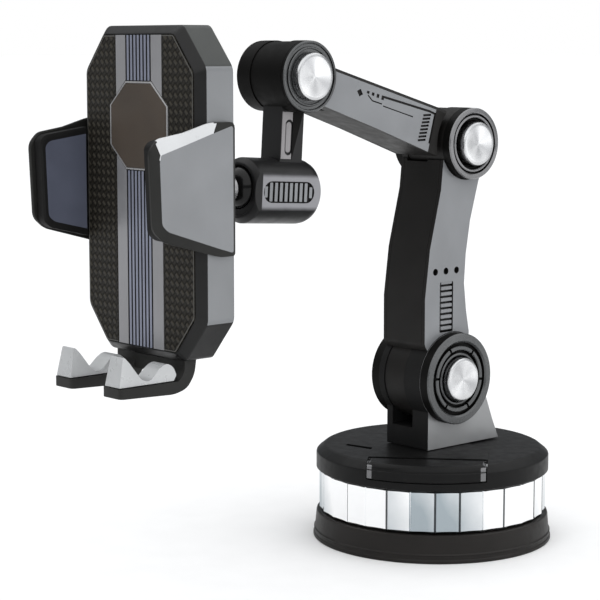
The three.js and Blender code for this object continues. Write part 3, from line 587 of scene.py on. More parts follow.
cover = lathe("top_cover_shell", "z", (0, 0), [
    (42.6, 25.6), (43, 25.95), (43, 31.2), (42.85, 31.7), (42.5, 32.1), (40.3, 33.85),
    (39.6, 34.15), (38.8, 34.3), (COVER_BORE, 34.3), (COVER_BORE, 32.4), (38.8, 32.4), (41, 30.8),
    (41, 25.6),
], COVER_SIDES)
plateau = lever_turned(prism("plateau", "z", [
    (42, -21.3), (42, 21.3), (9.5, 21.3, 1), (-10, 3.2, 1), (-10, -3.2, 1), (9.5, -21.3, 1),
], 33.4, 34.6))
cut(plateau, rod("hole", "z", (0, 0), COVER_BORE, 30, 38, 96))
soften(plateau, 0.4)
side_slot = lever_turned(prism("slot", "z", [
    (5.5, -31.0, 0.5), (8.1, -31.6, 0.5), (14.0, -21.8, 0.2), (11.4, -20.7, 0.2)], 33.2, 36))
cut(cover, lever_recess(), side_slot)
cut(plateau, lever_recess())
join(smooth(cover, 24), smooth(plateau))
give(cover, "base", ["top_cover"], [COVER_BLACK])


def arc(radius, half, steps=24):
    """Points from side to side on an arc about the base's axis."""
    across = [half * (2 * k / steps - 1) for k in range(steps + 1)]
    return [(math.sqrt(radius ** 2 - v * v), v) for v in across]


skirt = loft("lock_lever_tab", "z", [
    (arc(outer, half) + arc(inner, half)[::-1], height) for inner, outer, half, height in (
        (41.4, 43.2, 20.6, 28.75), (41.2, 43.6, 21, 29.1), (41.2, 43.6, 21, 32.0),
        (41.2, 43.2, 21, 32.3), (41.2, 43.2, 21, 32.8), (41.2, 42.9, 20.9, 33.3))])
plate = loft("plate", "z", [
    (arc(outer, half) + [(30.4, v) for _, v in arc(outer, half)[::-1]], height)
    for outer, half, height in (
        (42.4, 20.9, 33.0), (42.9, 21, 33.2), (42.5, 21, 33.7), (41.7, 20.8, 34.3),
        (41.2, 20.5, 34.5))])
cam = prism("cam", "y", [
    (25.6, 27.5, 0.6), (31.5, 27.5), (31.5, 32.5), (29, 32.5), (29, 29.5), (25.6, 29.5, 0.6),
], -4.5, 4.5)
lever = union(skirt, plate, rod("barrel", "y", LEVER_HINGE, 1.9, -21, 21, 32), cam)
cut(lever, rod("bore", "y", LEVER_HINGE, 1.2, -22, 22, 24))
for way in (1, -1):
    cut(lever, prism("end_chamfer", "x", [
        (way * 21.2, 33.6), (way * 21.2, 36), (way * 19.7, 36), (way * 19.7, 34.6)], 31, 45))
    cut(lever, prism("end_chamfer", "z", [
        (45, way * 21.2), (45, way * 20), (42.6, way * 20), (41.4, way * 21.2)], 27, 36))


def lever_faces(centre, normal):
    """The chamfers across the lever's two ends carry a painted glint."""
    spot = LEVER_TURN.inverted() @ centre
    facing = LEVER_TURN.inverted() @ normal
    slanted = 0.3 < abs(facing.y) < 0.93 and max(facing.x, facing.z) > 0.3
    return 1 if slanted and abs(spot.y) > 18.5 and spot.z > 29.4 else 0


give(smooth(lever_turned(lever), 20), "lever", ["lock_lever"],
     [COVER_BLACK, GLINT], lever_faces)

# ------------------------------------------------------------------ bracket and hinges

KNUCKLE = (-7.4, 2.3)           # the knuckles' two faces along X
CHEEK_GAP = (KNUCKLE[0] - GAP, KNUCKLE[1] + GAP)
ARM_HALF = 10.55
FRAME_HALF = 8.95
PLATE_INNER = 9.05
DISC_BACK, DISC_FLOOR = 10.58, 11.35
LOWER = {"at": (-0.9, 60.4), "radius": 16.75, "end": 14.8, "cap": 8.1, "cap_end": 16.7,
         "bolt": 3, "metal": DISC_METAL}
ELBOW = {"at": (5.8, 145.7), "radius": 12.9, "end": 14.6, "cap": 7.9, "cap_end": 16.7,
         "bolt": 2.5, "metal": DISC_PAINTED_LIGHT}
WRIST = {"at": (-72.2, 170.5), "radius": 12, "end": 12.2, "cap": 8.05, "cap_end": 14.9,
         "bolt": 2.5, "metal": DISC_METAL}
# Profiles of the end discs: [radius, place along X], from the outer edge of the back inwards.
LOWER["rings"] = [
    (16.65, DISC_BACK), (16.7, 10.7), (16.7, 14.2), (16.35, 14.6), (14.1, 14.8), (13.5, 14.25),
    (13.4, 13.2), (12.25, 13.2), (12.15, 14.2), (11.9, 14.5), (10.9, 14.5), (10.6, 14.2),
    (10.5, 12.8), (9.65, 12.8), (9.55, 14.0), (9.3, 14.2), (8.85, 14.2), (8.65, 14.0),
    (8.6, DISC_FLOOR),
]
ELBOW["rings"] = [
    (12.8, DISC_BACK), (12.85, 10.7), (12.85, 13.9), (12.5, 14.35), (11.4, 14.6), (10.95, 14.2),
    (10.85, 13.2), (10.4, 13.2), (10.3, 14.0), (10.05, 14.25), (9.6, 14.25), (9.35, 14.0),
    (9.2, 12.9), (8.5, 12.9), (8.4, 12.6), (8.4, DISC_FLOOR),
]
WRIST["rings"] = [
    (11.9, DISC_BACK), (11.95, 10.65), (11.95, 11.8), (11.65, 12.15), (11.25, 12.2), (11.0, 11.95),
    (10.9, 11.5), (9.95, 11.5), (9.85, 11.95), (9.65, 12.15), (9.4, 12.15), (9.2, 11.95),
    (9.1, 11.55), (8.55, 11.5), (8.55, DISC_FLOOR),
]


def hinge_pieces(name, hinge, body, notches=None):
    """The end discs, the bolt with its nut, and the cap of one hinge.

    The near disc may have six notches, which lie between two distances from the hinge's axis.
    """
    at, bolt, head_seat = hinge["at"], hinge["bolt"], 11.65
    profile = hinge["rings"] + [(bolt + GAP, DISC_FLOOR), (bolt + GAP, DISC_BACK)]
    for side, word in SIDES:
        disc = lathe(f"{name}_disc_{word}_rings", "x", at,
                     [(radius, side * along) for radius, along in profile])
        if notches and side > 0:
            for k in range(6):
                notch = block("notch", (13.3, -0.45, notches[0]), (17, 0.45, notches[1]))
                notch.data.transform(Matrix.Translation(place("x", *at, 0))
                                     @ Matrix.Rotation(math.radians(60 * k + 24), 4, "X"))
                cut(disc, notch)
        smooth(disc, 24)

        def ring_or_groove(centre, normal, side=side):
            return 0 if normal.x * side > 0.25 and abs(centre.x) > hinge["end"] - 1.0 else 1

        give(disc, body, [f"{name}_disc_{word}"], [hinge["metal"], DEEP_BLACK],
             ring_or_groove)

    cap_radius, cap_end = hinge["cap"], hinge["cap_end"]
    cap = lathe(f"{name}_cap_spun", "x", at, [
        (0, cap_end - 0.42), (1.2, cap_end - 0.38), (cap_radius * 0.5, cap_end - 0.14),
        (cap_radius - 1.5, cap_end), (cap_radius - 0.8, cap_end - 0.08),
        (cap_radius - 0.3, cap_end - 0.35), (cap_radius, cap_end - 0.9), (cap_radius, 11.9),
        (cap_radius - 0.25, head_seat), (bolt + 2.3, head_seat), (bolt + 2.3, cap_end - 1.6),
        (0, cap_end - 1.6),
    ])
    give(smooth(cap, 30), body, [f"{name}_cap"], [spun_material(at)])

    nut_end = hinge["end"] + 0.6
    head_end = cap_end - 1.9
    pin = lathe(f"{name}_bolt_turned", "x", at, [
        (0, -nut_end), (bolt - 0.4, -nut_end), (bolt, -nut_end + 0.4), (bolt, head_seat),
        (bolt + 2, head_seat), (bolt + 2, head_end - 0.3), (bolt + 1.7, head_end), (0, head_end),
    ], 48)
    give(smooth(pin), body, [f"{name}_bolt"], [STEEL])
    across = bolt + 3
    angles = [math.radians(60 * k + 30) for k in range(6)]
    corners = [(at[0] + across * math.cos(angle), at[1] + across * math.sin(angle))
               for angle in angles]
    nut = prism(f"{name}_nut_hex", "x", corners, -nut_end + 0.3, -head_seat)
    cut(nut, rod("bore", "x", at, bolt + 0.15, -20, 0, 48))
    give(soften(nut), body, [f"{name}_nut"], [STEEL])


hinge_pieces("lower_hinge", LOWER, "bracket", (10.3, 12.4))
hinge_pieces("elbow", ELBOW, "lower_arm")
hinge_pieces("wrist", WRIST, "upper_arm")


def hinge_rod(hinge, grow, start, end):
    return rod("cutter", "x", hinge["at"], hinge["radius"] + grow, start, end, 90)


def bolt_bore(hinge, at=None):
    return rod("bore", "x", at or hinge["at"], hinge["bolt"] + GAP, -12, 12, 36)


def cheek_or_edge(centre, normal):
    return 0 if abs(normal.x) > 0.9 and abs(centre.x) > 10 else 1


# Beyond this plane, next to the elbow, the plates are black as a painted shadow of the elbow's
# disc.
PAINTED_SHADOW_END = (Vector((0, -12.2, 151.5)), Vector((0, 10.35, -2.9)).normalized())


def plate_faces(centre, normal):
    """Grey faces, black edges, and a black end next to the elbow as a painted shadow of its disc.
    """
    start, along = PAINTED_SHADOW_END
    if (centre - start).dot(along) > 0 and centre.z > 141 or abs(centre.x) < ARM_HALF - 0.15:
        return 1
    return cheek_or_edge(centre, normal)


def split(obj, point, normal):
    """Divides an object's faces along a plane, so that they can take different materials."""
    maker = bmesh.new()
    maker.from_mesh(obj.data)
    everything = maker.verts[:] + maker.edges[:] + maker.faces[:]
    bmesh.ops.bisect_plane(maker, geom=everything, plane_co=point * MM, plane_no=normal)
    maker.to_mesh(obj.data)
    maker.free()


bracket = prism("hinge_bracket_body", "x", [
    (-13.1, 34.9), (24.7, 34.9), (21.2, 42.5), (18.3, 49.7), (15.2, 57), LOWER["at"], (-13.1, 50),
], -ARM_HALF, ARM_HALF)
union(bracket, hinge_rod(LOWER, 0, -ARM_HALF, ARM_HALF))
cut(bracket, hinge_rod(LOWER, 0.05, *CHEEK_GAP),
    block("pocket", (CHEEK_GAP[0], -20, 42.2), (CHEEK_GAP[1], -0.9, 62)),
    bolt_bore(LOWER))
soften(bracket, 0.35)
spigot = lathe("spigot", "z", (0, 0), [
    (0, 33), (2.3, 33), (2.3, 27.2), (7.7, 27.2), (8, 27.5), (8, 35.4), (0, 35.4)], 72)
join(bracket, smooth(spigot))
give(bracket, "bracket", ["hinge_bracket"], [GUNMETAL, BLACK_MATT], cheek_or_edge)

# ------------------------------------------------------------------ lower arm

LOWER_ARM = [
    (-9, 65), (-15.2, 73.6, 1), (-15.24, 90.3), (-12.9, 108.2), (-7.5, 129.4), (-6.4, 140),
    (5.8, 147.7), (16.5, 143), (12.1, 131.9), (7.9, 117.7), (5.8, 105.5), (5.06, 94.8),
    (6.3, 84.7), (8, 76.4, 1), (6, 65),
]
lower_arm = prism("lower_arm_frame", "x", LOWER_ARM, -FRAME_HALF, FRAME_HALF)
cut(lower_arm, hinge_rod(LOWER, GAP, -20, 20))
neck = prism("neck", "x", LOWER_ARM[:5] + LOWER_ARM[9:], *KNUCKLE)
union(lower_arm, neck, hinge_rod(LOWER, -GAP, *KNUCKLE), hinge_rod(ELBOW, 0, -ARM_HALF, ARM_HALF))
cut(lower_arm, hinge_rod(ELBOW, 0.05, *CHEEK_GAP),
    block("slot_low", (CHEEK_GAP[0], -12, 139.2), (CHEEK_GAP[1], 5.8, 165)),
    block("slot_high", (CHEEK_GAP[0], 5.7, 142.7), (CHEEK_GAP[1], 25, 165)),
    bolt_bore(LOWER), bolt_bore(ELBOW))
soften(lower_arm, 0.15)
give(lower_arm, "lower_arm", ["lower_arm"], [DARK_FRAME])


def side_plate(body, side, word, outline, face, clear_rods, cutters):
    """A painted plate on one side of an arm: dark edges, and a face with an outline of its own."""
    node = f"{body}_plate_{word}"
    piece = loft(f"{node}_face", "x", [
        (rounded(outline), side * PLATE_INNER), (rounded(outline), side * (ARM_HALF - 0.9)),
        (rounded(face), side * ARM_HALF),
    ])
    for hinge, grow in clear_rods:
        cut(piece, hinge_rod(hinge, grow, -20, 20))
    for cutter in cutters:
        cut(piece, cutter)
    soften(piece, 0.18)
    split(piece, *PAINTED_SHADOW_END)
    give(piece, body, [node], [GREY_PAINT, DARK_FRAME], plate_faces)


def box_outline(a0, a1, b0, b1, corner=0):
    """A rectangle between two places on each of the two directions of a drawing plane."""
    return [(a0, b0, corner), (a1, b0, corner), (a1, b1, corner), (a0, b1, corner)]


openings = [rod("hole", "x", (y, 99.9), 1.25, 8, 12, 32) for y in (-9.96, -4.5, 1)]
openings.append(prism("slot", "x", box_outline(-7.6, -0.7, 77.6, 96, 0.6), 8, 12))
for side, word in SIDES:
    side_plate("lower_arm", side, word, LOWER_ARM, LOWER_ARM, [(LOWER, GAP), (ELBOW, GAP)],
               openings if side > 0 else [])

ribs = block("lower_arm_grille", (8.8, -7.45, 77.75), (9.35, -0.85, 95.85))
for k in range(9):
    z = 78.4 + 2.08 * k
    join(ribs, prism("rib", "x", box_outline(-6.7, -1.0, z, z + 1.3, 0.3), 9.3, 10.35))
soften(ribs, 0.15, 1)
give(ribs, "lower_arm", [], [GREY_PAINT, DARK_FRAME],
     lambda centre, normal: 0 if centre.x > 9.8 else 1)

# ------------------------------------------------------------------ upper arm

UPPER_ARM = [
    (-3.8, 157.4), (-8.5, 158.9), (-58.7, 173.2), (-72.2, 177), (-72.2, 163.3), (-64.2, 160.4),
    (-38.25, 151.8), (-9.8, 141.7), (2, 142), (2, 150),
]
ELBOW_CLEARANCE = 2.6           # room for the elbow's cheeks when the arm folds
upper_arm = prism("upper_arm_frame", "x", UPPER_ARM, -FRAME_HALF, FRAME_HALF)
cut(upper_arm, hinge_rod(ELBOW, ELBOW_CLEARANCE, -20, 20))
neck = prism("neck", "x", UPPER_ARM[:2] + [(-20, 162.2), (-20, 145.4)] + UPPER_ARM[7:], *KNUCKLE)
union(upper_arm, neck, hinge_rod(ELBOW, -GAP, *KNUCKLE), hinge_rod(WRIST, 0, -ARM_HALF, ARM_HALF))
cut(upper_arm, rod("slot", "x", WRIST["at"], 17.5, -5.15, 5.15, 90),
    bolt_bore(ELBOW), bolt_bore(WRIST))
soften(upper_arm, 0.15)


def barrel_or_arm(centre, normal):
    """The wrist's barrel is blacker than the arm."""
    reach = Vector((centre.y - WRIST["at"][0], centre.z - WRIST["at"][1])).length
    return 1 if reach < WRIST["radius"] + 0.1 else 0


give(upper_arm, "upper_arm", ["upper_arm"], [DARK_FRAME, DEEP_BLACK], barrel_or_arm)


def groove(points, width, side, depth=0.35):
    """A cutter for a groove along a line of [y, z] points in an arm's plate."""
    line = [Vector(point) for point in points]
    left, right = [], []
    for i, point in enumerate(line):
        before = (point - line[i - 1]).normalized() if i else None
        after = (line[i + 1] - point).normalized() if i + 1 < len(line) else None
        along = ((before or after) + (after or before)).normalized()
        across = Vector((-along.y, along.x)) * width / 2
        if before and after:
            across /= max(0.4, along.dot(after))
        left.append(point + across)
        right.append(point - across)
    return prism("groove", "x", left + right[::-1], *span(side, ARM_HALF - depth, ARM_HALF + 1))


def upper_plate_cutters(side):
    cutters = [
        prism("diamond", "x", [(-49.3, 165.4), (-48.2, 163.5), (-46.5, 164.2), (-47.6, 166.1)],
              *span(side, 10.1, 12)),
        groove([(-36.4, 163.1), (-13.5, 157.6), (-11, 156.65), (-13.9, 146.3)], 0.8, side),
        groove([(-44.1, 163.9), (-42.0, 161.9), (-37.4, 160.7)], 0.45, side),
        groove([(-36.9, 160), (-22.1, 155.9)], 0.4, side),
    ]
    for k in range(4):
        spot = Vector((-44.6, 165.0)).lerp(Vector((-37.6, 163.0)), k / 3)
        cutters.append(groove([spot, spot + Vector((1.2, -0.3))], 0.9 + 0.2 * k, side))
    for k in range(8):
        spot = Vector((-16.9, 156.3)).lerp(Vector((-19.6, 147.6)), k / 7)
        cutters.append(groove([spot, spot + Vector((3.9, 0.1))], 0.75, side, 0.6))
    return cutters


# The plate's face is narrower than the arm along its upper edge.
UPPER_FACE = [(y - 0.33, z - 1.15) for y, z in UPPER_ARM[:4]] + UPPER_ARM[4:]
for side, word in SIDES:
    side_plate("upper_arm", side, word, UPPER_ARM, UPPER_FACE,
               [(ELBOW, ELBOW_CLEARANCE), (WRIST, GAP)], upper_plate_cutters(side))

# ------------------------------------------------------------------ wrist link, ball and neck

LINK_PLACE = (Matrix.Translation(place("x", *WRIST["at"], 0))
              @ Matrix.Rotation(math.radians(-3.7), 4, "X"))
LINK_HALF = 4.85
SOCKET_Z = -38.75               # the socket's axis, below the wrist
BALL_RADIUS, CAVITY_RADIUS = 7.4, 7.7
BALL = Vector((0, -91.2, 133.9))
BALL_IN_LINK = LINK_PLACE.inverted() @ (BALL * MM) / MM


def in_link(obj):
    obj.data.transform(LINK_PLACE)
    return obj


def ball_shape(name, centre, radius, steps=24):
    profile = [(radius * math.sin(math.pi * k / steps) if 0 < k < steps else 0,
                centre.y - radius * math.cos(math.pi * k / steps)) for k in range(steps + 1)]
    return lathe(name, "y", (centre.x, centre.z), profile, 2 * steps)


def stadium(front, rear, middle, half, steps=10):
    """An outline with two round ends, in [y, z]."""
    points = []
    for end, sign in ((front, -1), (rear, 1)):
        for k in range(steps + 1):
            angle = math.pi * k / steps - math.pi / 2
            points.append((end - sign * half + sign * half * math.cos(angle),
                           middle + sign * half * math.sin(angle)))
    return points


def stadium_upright(front, rear, top, bottom):
    """An upright slot with round ends, in [y, z]."""
    lying = stadium(bottom, top, (front + rear) / 2, (rear - front) / 2)
    return [(across, height) for height, across in lying]


socket = lathe("ball_link_body", "y", (0, SOCKET_Z), [
    (0, -18.9), (8.4, -18.9), (8.7, -19.34), (9.2, -19.34), (9.6, -19.1), (10.85, -17.8),
    (11.05, -17.4), (11.05, 5.9), (10.85, 7.4), (10.25, 8.8), (9.2, 9.9), (7.6, 10.6), (5.8, 10.85),
    (0, 10.9),
], 120)
flats = block("flats", (-9.2, -30, -60), (9.2, 30, -20))
combine(socket, "INTERSECT", flats)
stem = block("stem", (-LINK_HALF, -5.5, -30), (LINK_HALF, 4.45, -2))
union(socket, stem, rod("eye", "x", (0, 0), 11.7, -LINK_HALF, LINK_HALF, 90))
grip = stadium(-15.6, 6.9, SOCKET_Z, 3.6)
for part, outline, inner, outer in (("seat", box_outline(-5.3, -0.3, -27.9, -11.9), 4.4, 6),
                                    ("recess", grip, 8.2, 10)):
    for side, _ in SIDES:
        cut(socket, prism(part, "x", outline, *span(side, inner, outer)))
cut(socket, bolt_bore(WRIST, (0, 0)),
    rod("screw_bore", "y", (0, BALL_IN_LINK.z), 3.3, BALL_IN_LINK.y, 12, 36),
    ball_shape("cavity", BALL_IN_LINK, CAVITY_RADIUS))
soften(socket)
PAINTED_LIGHT_FRONT = -16.2             # the flats carry painted light behind this place
split(socket, Vector((0, PAINTED_LIGHT_FRONT, 0)), Vector((0, 1, 0)))


def link_faces(centre, normal):
    """Painted light on the housing's flats, and a blacker eye inside the wrist's barrel."""
    spot = LINK_PLACE.inverted() @ (centre * MM) / MM
    if spot.yz.length < 11.9:
        return 2
    return 1 if abs(spot.x) > 8.9 and abs(normal.x) > 0.3 and spot.y > PAINTED_LIGHT_FRONT else 0


def housing_painted_light():
    """Painted light on the housing's flats, which fades into black, as painted shade, towards the
    flat's upper and lower edge.
    """
    result, shader, where = node_material("housing_flat_painted_light")
    tree = result.node_tree
    turned = new_node(tree, "Mapping", {
        "Vector": where, "Location": LINK_PLACE.to_translation(),
        "Rotation": LINK_PLACE.to_euler()})
    turned.vector_type = "TEXTURE"
    _, _, height = parts_of(turned.outputs["Vector"])
    off_axis = maths("ABSOLUTE", minus(height, SOCKET_Z * MM))
    fade = new_node(tree, "MapRange", {
        "Value": add(off_axis, times(noise(where, 5), 0.4 * MM)),
        "From Min": 4.7 * MM, "From Max": 6.5 * MM})
    fade.interpolation_type = "SMOOTHSTEP"
    mix = new_node(tree, "Mix", {})
    mix.data_type = "RGBA"
    feed(mix, {"A": (0.245, 0.245, 0.26, 1), "B": (0.012, 0.012, 0.013, 1),
               "Factor": fade.outputs["Result"]})
    feed(shader, {
        "Base Color": mix.outputs["Result"], "Roughness": spread(noise(where, 3.5), 0.33, 0.44),
        "Metallic": 0.2, "Specular IOR Level": 0.35})
    add_bump(shader, noise(where, 0.12), 0.0015)
    return result


give(in_link(socket), "link", ["ball_link"],
     [HOUSING_BLACK, housing_painted_light(), DEEP_BLACK], link_faces)

for side, word in SIDES:
    inlay = prism(f"link_inlay_{word}", "x", box_outline(-5.2, -0.6, -27.8, -12),
                  *span(side, 4.5, 4.95))
    cut(inlay, prism("window", "x", stadium_upright(-3.6, -0.4, -14.5, -26.5), -6, 6))
    bar = prism("bar", "x", stadium_upright(-3.2, -0.9, -15.3, -25.6), *span(side, 4.5, 4.8))
    join(soften(inlay, 0.1, 1), soften(bar, 0.1, 1))
    give(in_link(inlay), "link", [], [INLAY])

for side, word in SIDES:
    insert = prism(f"grip_insert_{word}_ribs", "x", stadium(-15.3, 6.6, SOCKET_Z, 3.3),
                   *span(side, 8.5, 8.65))
    for k in range(10):
        y = -14.6 + 2.208 * k
        reach = 3.2 if 0 < k < 9 else 1.9
        outline = box_outline(y - 0.66, y + 0.76, SOCKET_Z - reach, SOCKET_Z + reach, 0.3)
        join(insert, prism("rib", "x", outline, *span(side, 8.6, 9.15)))
    soften(insert, 0.12, 1)
    give(in_link(insert), "link", [f"grip_insert_{word}"], [GREY_PAINT, BLACK_MATT],
         lambda centre, normal: 0 if abs(centre.x) > 9.0 and abs(normal.x) > 0.8 else 1)

ball = ball_shape("ball_head_turned", BALL, BALL_RADIUS)
give(smooth(ball), "ball", ["ball_head"], [BLACK_GLOSS])

neck = lathe("ball_neck_turned", "y", (0, BALL.z), [
    (0, -124.9), (7.8, -124.9), (8, -124.7), (8, -123.5), (7.8, -123.3), (4.5, -123.3),
    (4.5, -101.6), (4.7, -101.2), (4.7, -100.3), (4.5, -99.9), (4.5, -96.2), (0, -96.2),
], 64)
cut(neck, ball_shape("hollow", BALL, CAVITY_RADIUS))
give(smooth(neck), "neck", ["ball_neck"], [SATIN_SILVER])

# ------------------------------------------------------------------ cradle


def octagon(inset, corner=1.5):
    """The cradle's outline in [x, z], drawn in from its outer edge."""
    x = 30.6 - inset
    low, high = 81.95 + inset, 187.05 - inset
    dx, dz = 11 - inset * 0.45, 13 - inset * 0.45
    points = [(-x + dx, low), (x - dx, low), (x, low + dz), (x, high - dz),
              (x - dx, high), (-x + dx, high), (-x, high - dz), (-x, low + dz)]
    return rounded([(*point, corner) for point in points], 3)


tray = loft("cradle_frame_tray", "y", [
    (octagon(2.0), -132.5), (octagon(2.0), -121.25), (octagon(1.75), -121), (octagon(0.25), -121),
    (octagon(0), -121.25), (octagon(0), -131.4), (octagon(0.05), -131.75),
    (octagon(0.2), -132.05), (octagon(0.42), -132.35), (octagon(1.95), -133.95),
    (octagon(2.45), -134.45), (octagon(2.7), -134.55), (octagon(2.85), -134.45),
    (octagon(2.9), -133.9),
])
for slot_low, slot_high in (
        ((26, -131.3, 140.9), (32, -126.2, 149.3)), ((-32, -131.3, 122.7), (-26, -126.2, 131.1)),
        ((7.77, -131.3, 80), (18.1, -126, 86)), ((-18.1, -131.3, 80), (-7.77, -126, 86))):
    cut(tray, block("slot", slot_low, slot_high))
smooth(tray, 24)


def cradle_faces(centre, normal):
    """Painted light on the long sides, painted shade on the upward walls, and black on the front,
    the slots and, as painted shade, the downward walls.
    """
    if centre.y < -131.6 or abs(normal.y) > 0.5 or abs(centre.x) < 28 and abs(normal.x) > 0.9:
        return 2
    if abs(normal.x) > 0.9 and abs(centre.x) > 30:
        return 0
    return 1 if normal.z > -0.2 else 2


give(tray, "cradle", ["cradle_frame"], [SIDE_PAINTED_LIGHT, SIDE_PAINTED_SHADE, BLACK_SATIN],
     cradle_faces)

back = loft("back_cover_panel", "y", [
    (octagon(2.3), -123), (octagon(2.3), -121.3), (octagon(2.6), -121),
])
union(back, lathe("boss", "y", (0, BALL.z), [
    (0, -121.5), (13.4, -121.5), (13.4, -121), (12.4, -120.4), (12, -119.6), (12, -115.5),
    (11.5, -115), (0, -115),
], 90))
cut(back, rod("bore", "y", (0, BALL.z), 4.8, -130, -100, 64),
    block("window", (-6.3, -130, 167.7), (6.3, -110, 180.3)))
for k in range(7):
    z = 95.0 + 4.0 * k
    cut(back, block("line", (-12, -121.35, z), (12, -120, z + 0.9)))
soften(back)
give(back, "cradle", ["back_cover"], [DARK_FRAME])

for k, (x, z) in enumerate(((-22, 97), (22, 97), (-22, 172), (22, 172))):
    screw = lathe(f"back_screw_{k + 1}", "y", (x, z), [
        (0, -122.6), (2.3, -122.6), (2.3, -120.95), (2.0, -120.7), (0, -120.6)], 32)
    for dx, dz in ((1.5, 0.25), (0.25, 1.5)):
        cut(screw, block("cross", (x - dx, -121.5, z - dz), (x + dx, -120, z + dz)))
    give(smooth(screw), "cradle", [], [STEEL])

FRONT = -134.2                  # the tray's floor, on which the strip, films and pad lie


def pad_outline(grow):
    """The centre pad's outline in [x, z], drawn out from its edge."""
    x, waist, half, tip, z = 14.95 + grow, 6.3, 14 + grow, 6.6 + grow * 0.4, 155.5
    return [(-tip, z - half), (tip, z - half), (x, z - waist), (x, z + waist),
            (tip, z + half), (-tip, z + half), (-x, z + waist), (-x, z - waist)]


def pad_hole():
    return prism("hole", "y", pad_outline(GAP), -140, -130)


STRIP_TOP, GROOVE_FLOOR = FRONT - 0.5, FRONT - 0.1
strip_outline = [(-11.85, FRONT), (-11.85, -134.6), (-11.7, STRIP_TOP)]
for k in range(8):
    middle = 1.78 * (k - 3.5)
    strip_outline += [(middle - 0.36, STRIP_TOP), (middle - 0.22, GROOVE_FLOOR),
                      (middle + 0.22, GROOVE_FLOOR), (middle + 0.36, STRIP_TOP)]
strip_outline += [(11.7, STRIP_TOP), (11.85, -134.6), (11.85, FRONT)]


def strip_faces(centre, normal):
    """Silver between the black grooves, and a darker silver beside them."""
    if centre.y > -134.6 and abs(centre.x) < 7:
        return 2
    return 0 if abs(centre.x) < 6.3 else 1


for word, low, high in (("lower", 84.95, 150), ("upper", 160, 184.05)):
    strip = prism(f"center_strip_{word}_grooved", "z", strip_outline, low, high)
    cut(strip, pad_hole())
    give(smooth(strip, 20), "cradle", [f"center_strip_{word}"],
         [STRIP_SILVER, STRIP_EDGE, BLACK_SATIN], strip_faces)

border = loft("center_pad_border", "y", [
    (pad_outline(0), FRONT), (pad_outline(0), -134.75), (pad_outline(-0.12), -134.9),
    (pad_outline(-0.5), -134.9), (pad_outline(-0.6), -134.5),
])
give(smooth(border, 20), "cradle", ["center_pad"], [BORDER_GREY])
pad_face = loft("center_pad_face", "y", [
    (pad_outline(-0.65), -134.3), (pad_outline(-0.65), -134.8), (pad_outline(-0.85), -134.95),
    (pad_outline(-1.35), -135.0),
])
give(smooth(pad_face, 20), "cradle", [], [PAD_FACE])


def on_one_side(obj, side):
    """Keeps what lies beside the strip on one side."""
    low, high = span(side, 12.15, 40)
    return combine(obj, "INTERSECT", block("half", (low, -140, 0), (high, -130, 300)))


for side, word in HANDS:
    panel = prism(f"panel_{word}_film", "y", octagon(3.0, 0.5), STRIP_TOP, FRONT)
    cut(on_one_side(panel, side), pad_hole())
    soften(panel, 0.08, 1)
    give(panel, "cradle", [f"panel_{word}"], [WEAVE])
    line = loft(f"panel_{word}_line", "y", [
        (octagon(3.15, 0.5), -134.6), (octagon(3.15, 0.5), -134.78),
        (octagon(3.45, 0.5), -134.78), (octagon(3.45, 0.5), -134.6)], closed=True)
    give(smooth(on_one_side(line, side), 20), "cradle", [], [PANEL_LINE])

button = prism("release_button_cap", "y", box_outline(-6, 6, 168, 180, 1.2), -124.5, -119)
for k in range(4):
    z = 170.6 + 2.2 * k
    cut(button, block("line", (-4.2, -119.4, z), (4.2, -118, z + 0.8)))
soften(button)
join(button, soften(block("flange", (-8, -125.4, 166), (8, -123.4, 182)), 0.2),
     soften(block("catch", (-3, -125.4, 151.6), (3, -124, 166.2)), 0.2))
give(button, "button", ["release_button"], [GUNMETAL])

# ------------------------------------------------------------------ clamps

RIM = [
    (-154.1, 125.4, 2), (-155.2, 149.5, 2), (-151.8, 153, 1.5), (-142, 154.5),
    (-131.5, 157.4, 2.5), (-121.8, 157.4, 2), (-121.8, 115.8, 1), (-127.7, 115.7, 2),
    (-149.8, 121.7, 2),
]
FACE = [
    (-150.95, 127.2, 1), (-151.6, 145.8, 0.3), (-151.2, 147.8, 0.3), (-142, 150.58),
    (-131.5, 153.75, 0.3), (-123.4, 156.2, 1), (-123.4, 116.9, 1), (-127.7, 118.3, 0.3),
    (-148.9, 125.2, 1.2),
]
PAD = [
    (-135.3, 154.4), (-151.9, 152.2, 1.5), (-153.6, 150.3, 1), (-152.6, 124.2, 1.6),
    (-149.9, 122.2, 1), (-135.3, 118.7),
]


def toward(outline, other, share):
    return [a.lerp(b, share) for a, b in zip(outline, other)]


rim, face, pad_edge = rounded(RIM), rounded(FACE), rounded(PAD)
pad_middle = [Vector((-141, 137.2))] * len(pad_edge)
for side, word in HANDS:
    clamp = loft(f"clamp_plate_{word}_shell", "x", [
        (toward(rim, face, share), side * along) for share, along in (
            (0.1, 30.9), (0, 31.15), (0, 31.95), (0.08, 32.15), (0.86, 32.8), (0.93, 32.95),
            (1, 33.0))])

    def clamp_faces(centre, normal, side=side):
        """A painted face, and a painted highlight along the right clamp's upper slant."""
        if centre.x * side > 32.96:
            return 0
        lit = side > 0 and normal.z > 0.12 and centre.z > 147
        return 1 if lit and -152.4 < centre.y < -130 else 2

    give(smooth(clamp, 24), f"clamp_{word}", [f"clamp_plate_{word}"],
         [GREY_PAINT, PAINTED_HIGHLIGHT, CHARCOAL], clamp_faces)
    pad = loft(f"clamp_pad_{word}_rubber", "x", [
        (toward(pad_edge, pad_middle, share), side * along) for share, along in (
            (0, 30.6), (0, 27.4), (0.05, 26.95), (0.13, 26.8))])
    give(smooth(pad, 24), f"clamp_{word}", [f"clamp_pad_{word}"],
         [CLAMP_RUBBER, BLACK_MATT], lambda centre, normal: 0 if abs(centre.x) < 26.82 else 1)

